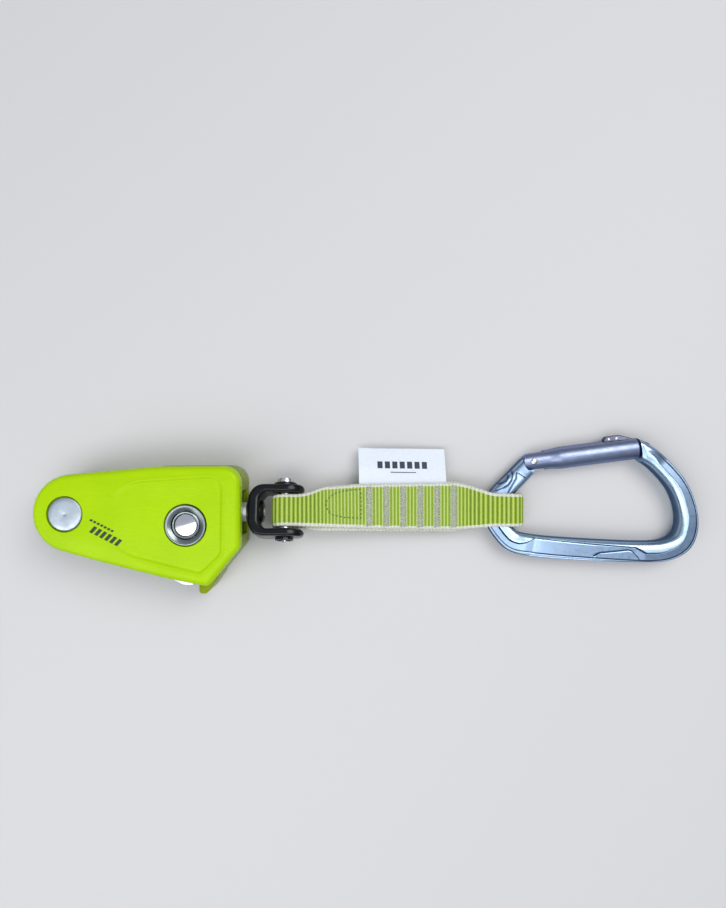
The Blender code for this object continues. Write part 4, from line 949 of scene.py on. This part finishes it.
def build_bar():
    path = smooth_path(BAR_STATIONS, 60)
    places, length = [0.0], lengths_along(path)[-1]
    while places[-1] < length:
        places.append(places[-1] + float(line_at(STEP_LINE, places[-1])))
    places[-1] = length
    path = walk(path, places)
    rings, groove_shades, wall_shades, crest_highlights = [], [], [], []
    turn = np.array([6, 13, 20, 27, 33])
    flank_v, flank_z = np.sqrt(np.cos(np.radians(turn))), np.sin(np.radians(turn)) ** 0.8
    # painted shade on the bar's side walls, carried in its wall attribute
    flank_shade = 1 - rise(turn, 24, 42)
    for u, (x, y, width, height), (nx, ny) in zip(places, path, normals_of(path[:, :2])):
        half, tall = width / 2, height / 2
        (v, on_line), rim, facet, ridge = bar_columns(u, half)
        shown = rise(u, 19, 25) * (1 - rise(u, 159, 169))
        facet_shown = rise(u, 79, 80.5) * (1 - rise(u, 99.4, 100.6))
        low = 1 - 0.3 * shown
        cap = np.select([v < rim, v < facet, v < ridge], [low - 0.01, low + 0.1 * facet_shown, low], 1.0)
        cap -= 0.018 * shown * np.maximum(0, ridge - v)
        z = tall * np.minimum((1 - abs(v / half) ** 4) ** 0.4, cap)
        # the groove lines are cut in, and the same mask paints shade in them through the groove attribute
        groove = on_line * shown * (shown > 0.05) * np.where(abs(v - facet) < 0.2, facet_shown, 1)
        z -= 0.2 * groove
        if u < 22:
            near = np.min([line_distance(x + nx * v, y + ny * v, line) for line in HINGE_LINES], axis=0)
            cut_in = np.exp(-((near / 0.34) ** 2)) * (1 - rise(u, 19.5, 21.5))
            z -= 0.2 * cut_in
            # the hinge arm's grooves get painted shade too
            groove = np.maximum(groove, np.minimum(1, 1.5 * cut_in))
        if u > 163:
            step = np.interp(v, [-4, -1.4, 0.8, 3.6], [172.5, 170.9, 169.2, 167.6])
            z -= 0.3 * rise(u, step - 0.8, step + 0.8)
        # painted shade over the bar's outer zone, outside its ridge and rim, carried in the wall attribute
        outer_shade = np.where(v < ridge, (1 - rise(u, 46, 52) + rise(u, 101, 104)) * shown, 0)
        outer_shade = np.where(v < rim, np.maximum(outer_shade, 0.8 * shown), outer_shade)
        outer_z = tall * np.minimum(flank_z, 0.99 - 0.42 * shown)
        v = np.concatenate([-half * flank_v, v, half * flank_v[::-1]])
        z = np.concatenate([outer_z, z, tall * flank_z[::-1]])
        wall = np.concatenate([flank_shade, 0.42 * outer_shade, flank_shade[::-1]])
        # painted highlight along the ridge, carried in the crest attribute
        crest = shown * rise(v, ridge + 0.2, ridge + 0.6) * (1 - rise(v, half - 1, half - 0.4))
        for rows, values in ((groove_shades, np.pad(groove, len(turn))), (wall_shades, wall), (crest_highlights, crest)):
            rows.append(np.append(values, values[::-1]))
        v, z = np.append(v, v[::-1]), np.append(z, -z[::-1])
        rings.append(np.column_stack([x + nx * v, y + ny * v, z]))
    rings = np.array(rings) * MM + np.array(CARABINER)
    bar = loft("carabiner_bar", rings, BAR_METAL, groove=groove_shades, wall=wall_shades, crest=crest_highlights)

    # room for the gate and its swing, and for the hinge and nose tabs
    swept, swing = 5.35, radians(28)
    discs = [(0, 0, 4.8), (40, 0, swept)] + [(x * cos(swing), -x * sin(swing), swept) for x in (10, 40)]
    discs += [(48 * cos(a), 48 * sin(a), 0.1) for a in np.radians(np.linspace(4, -34, 13))]
    for outline in (hull_outline(discs, 64), corners_of(-1, 47.8, -swept, 12), corners_of(-4.9, 0, 0, 12)):
        cut(bar, prism("cutter", outline, -THROUGH, THROUGH, BAR_METAL, IN_GATE))
    piece(smooth(bar, 60), "carabiner", "anodised", "carabiner_body")

    # the hinge tab, its cam and the hooked nose, which the gate's slots close over
    tab = hull_outline([(2.6, 22.4, 3.4), (-3.6, 16.2, 3), (-1.2, 16.6, 2.4)])
    made = prism("hinge_tab", tab, -TAB_HALF, TAB_HALF, BAR_METAL, Matrix.Translation(CARABINER))
    cut(made, prism("cam", hull_outline([(1.286, -1.532, 2.6)]), -TAB_HALF, TAB_HALF, BAR_METAL, IN_GATE), "UNION")
    cut(made, hinge_bore(BAR_METAL))
    piece(round_edges(made, 0.2), "carabiner", "anodised")
    nose = hull_outline([(50.9, 0, 2.2), (41.6, 0.4, 2.2), (34.6, 4.9, 1.9), (39.6, 4.9, 1.9)])
    made = prism("gate_nose", nose, -TAB_HALF, TAB_HALF, NOSE_METAL, IN_GATE)
    piece(round_edges(made, 0.45), "carabiner", "gate_anodised")
    pin = [(0, 2.1), (0.45, 2.05), (0.62, 1.9), (0.62, -1.9), (0.45, -2.05), (0, -2.1)]
    for number, x in enumerate((34.9, 38.4), 1):
        spot = IN_GATE @ Vector((x * MM, 5.3 * MM, 0))
        piece(lathe(f"nose_pin_{number}", pin, POLISHED, spot, steps=32), "carabiner", "steel")


def corners_of(left, right, low, high):
    return [(left, low), (right, low), (right, high), (left, high)]


def hinge_bore(material):
    return prism("bore", hull_outline([(0, 0, 1.4)]), -THROUGH, THROUGH, material, IN_GATE)


def build_gate():
    gate_r, end_r, length = 4.95, 4.3, 47.4
    profile = [(0, length), (gate_r - 0.9, length), (gate_r - 0.35, length - 0.12), (gate_r - 0.08, length - 0.4)]
    profile += [(gate_r, length - 0.8), (gate_r, 13), (gate_r - 0.04, 12), (gate_r - 0.15, 11), (gate_r - 0.33, 9.8)]
    profile += [(end_r + 0.16, 8.6), (end_r + 0.05, 7.6), (end_r, 6.6), (end_r, -6), (0, -6)]
    gate = lathe("gate_tube", profile, GATE_METAL, GATE, GATE_AXIS, out=(0, 0, 1))
    rounded = hull_outline([(0, 0, end_r), (60, 0, 9)], 96)
    cut(gate, prism("end_shape", rounded, -8, 8, GATE_METAL, IN_GATE), "INTERSECT")
    for slot in (corners_of(-9, 5.2, -9, 9), corners_of(32, 60, -3.1, 9)):
        cut(gate, prism("slot", slot, -SLOT_HALF, SLOT_HALF, GATE_METAL, IN_GATE))
    cut(gate, hinge_bore(GATE_METAL))
    piece(round_edges(gate, 0.22), "gate", "gate_anodised", "gate")
    rivet = [(0, 4.28), (0.8, 4.26), (1.2, 4.1), (1.3, 3.9), (1.1, 3.7)]
    rivet += [(radius, -height) for radius, height in rivet[::-1]]
    turned("hinge_rivet", "gate", "gate_rivet", POLISHED, rivet, GATE, steps=48)


# ---- the pieces


def paint(nodes, material):
    for name in nodes:
        node = frame["nodes"][name]
        node.data.materials.clear()
        node.data.materials.append(material)


build_cover()
build_back()
build_jaw()
build_pivot_and_lock()
build_springs()
build_cover_marks()
build_fork()
build_webbing()
build_stitching()
build_label()
build_bar()
build_gate()
paint(["back_plate", "front_plate", "brake_jaw_back", "brake_jaw_front"], PLATE_METAL)
paint([f"brake_jaw_{side}_rivet_{k}" for side in ("back", "front") for k in (1, 2)], POLISHED)
paint(["swivel_block", "swivel_washer"], DARK_METAL)
paint(["fork_pin_clip"], FORK_BLACK)
paint(["gate_plunger"], POLISHED)
paint(["pivot_washer"], BRASS)

# ---- floor, light and camera

CAMERA_AT = Vector((-0.00542, 0.02633, 0.334))


def build_floor():
    finish = Shader("pale_floor", (0.68, 0.67, 0.66), 0.6)
    verts = [(-3, -3, 0), (3, -3, 0), (3, 3, 0), (-3, 3, 0)]
    floor = new_object("floor", verts, [(0, 1, 2, 3)], finish.material)
    floor.location.z = -0.0002


def area_light(name, place, target, size, power, colour=(1, 1, 1)):
    light = bpy.data.lights.new(name, "AREA")
    light.shape = "RECTANGLE"
    light.size, light.size_y = size
    light.energy = power
    light.color = colour
    made = bpy.data.objects.new(name, light)
    bpy.context.scene.collection.objects.link(made)
    made.location = place
    made.rotation_euler = (Vector(target) - Vector(place)).to_track_quat("-Z", "Y").to_euler()
    return made


def build_lights():
    world = bpy.data.worlds.new("studio")
    world.use_nodes = True
    tree = world.node_tree
    place = tree.nodes.new("ShaderNodeTexCoord")
    split = tree.nodes.new("ShaderNodeSeparateXYZ")
    ramp = tree.nodes.new("ShaderNodeValToRGB")
    ramp.color_ramp.elements[0].position, ramp.color_ramp.elements[0].color = 0.05, (0.2, 0.21, 0.23, 1)
    ramp.color_ramp.elements[1].position, ramp.color_ramp.elements[1].color = 0.9, (0.80, 0.86, 1.0, 1)
    tree.links.new(place.outputs["Generated"], split.inputs["Vector"])
    tree.links.new(split.outputs["Z"], ramp.inputs["Fac"])
    tree.links.new(ramp.outputs["Color"], tree.nodes["Background"].inputs["Color"])
    tree.nodes["Background"].inputs["Strength"].default_value = 0.6
    bpy.context.scene.world = world
    area_light("key", (0.55, 0.5, 1.15), (0, 0, 0), (0.8, 0.8), 8, (1, 0.98, 0.95))
    area_light("fill", (-1.0, -0.65, 0.8), (0, 0, 0), (0.7, 0.7), 3, (0.95, 0.97, 1))
    # a panel overhead whose upper edge, seen in the lock button, splits it in two
    height = 0.9
    toward = Vector((LOCK.x, LOCK.y, 0.0267)) - CAMERA_AT
    mirrored = Vector((LOCK.x, LOCK.y, 0.0267)) + Vector((toward.x, toward.y, -toward.z)) * (height / -toward.z)
    tilt = radians(17)
    deep = 0.5
    centre = mirrored + Vector((sin(tilt), -cos(tilt), 0)) * (deep / 2 + 0.004)
    panel = area_light("panel", centre, centre - Vector((0, 0, 1)), (0.9, deep), 3.4)
    panel.rotation_euler = (0, 0, tilt)


def build_camera():
    camera = bpy.data.cameras.new("camera")
    camera.sensor_width = 36
    camera.lens = 36 * 727 / 908
    camera.clip_start = 0.01
    made = bpy.data.objects.new("camera", camera)
    bpy.context.scene.collection.objects.link(made)
    made.location = CAMERA_AT
    bpy.context.scene.camera = made


build_floor()
build_lights()
build_camera()
bpy.context.scene.view_settings.view_transform = "Standard"

bpy.context.view_layer.update()
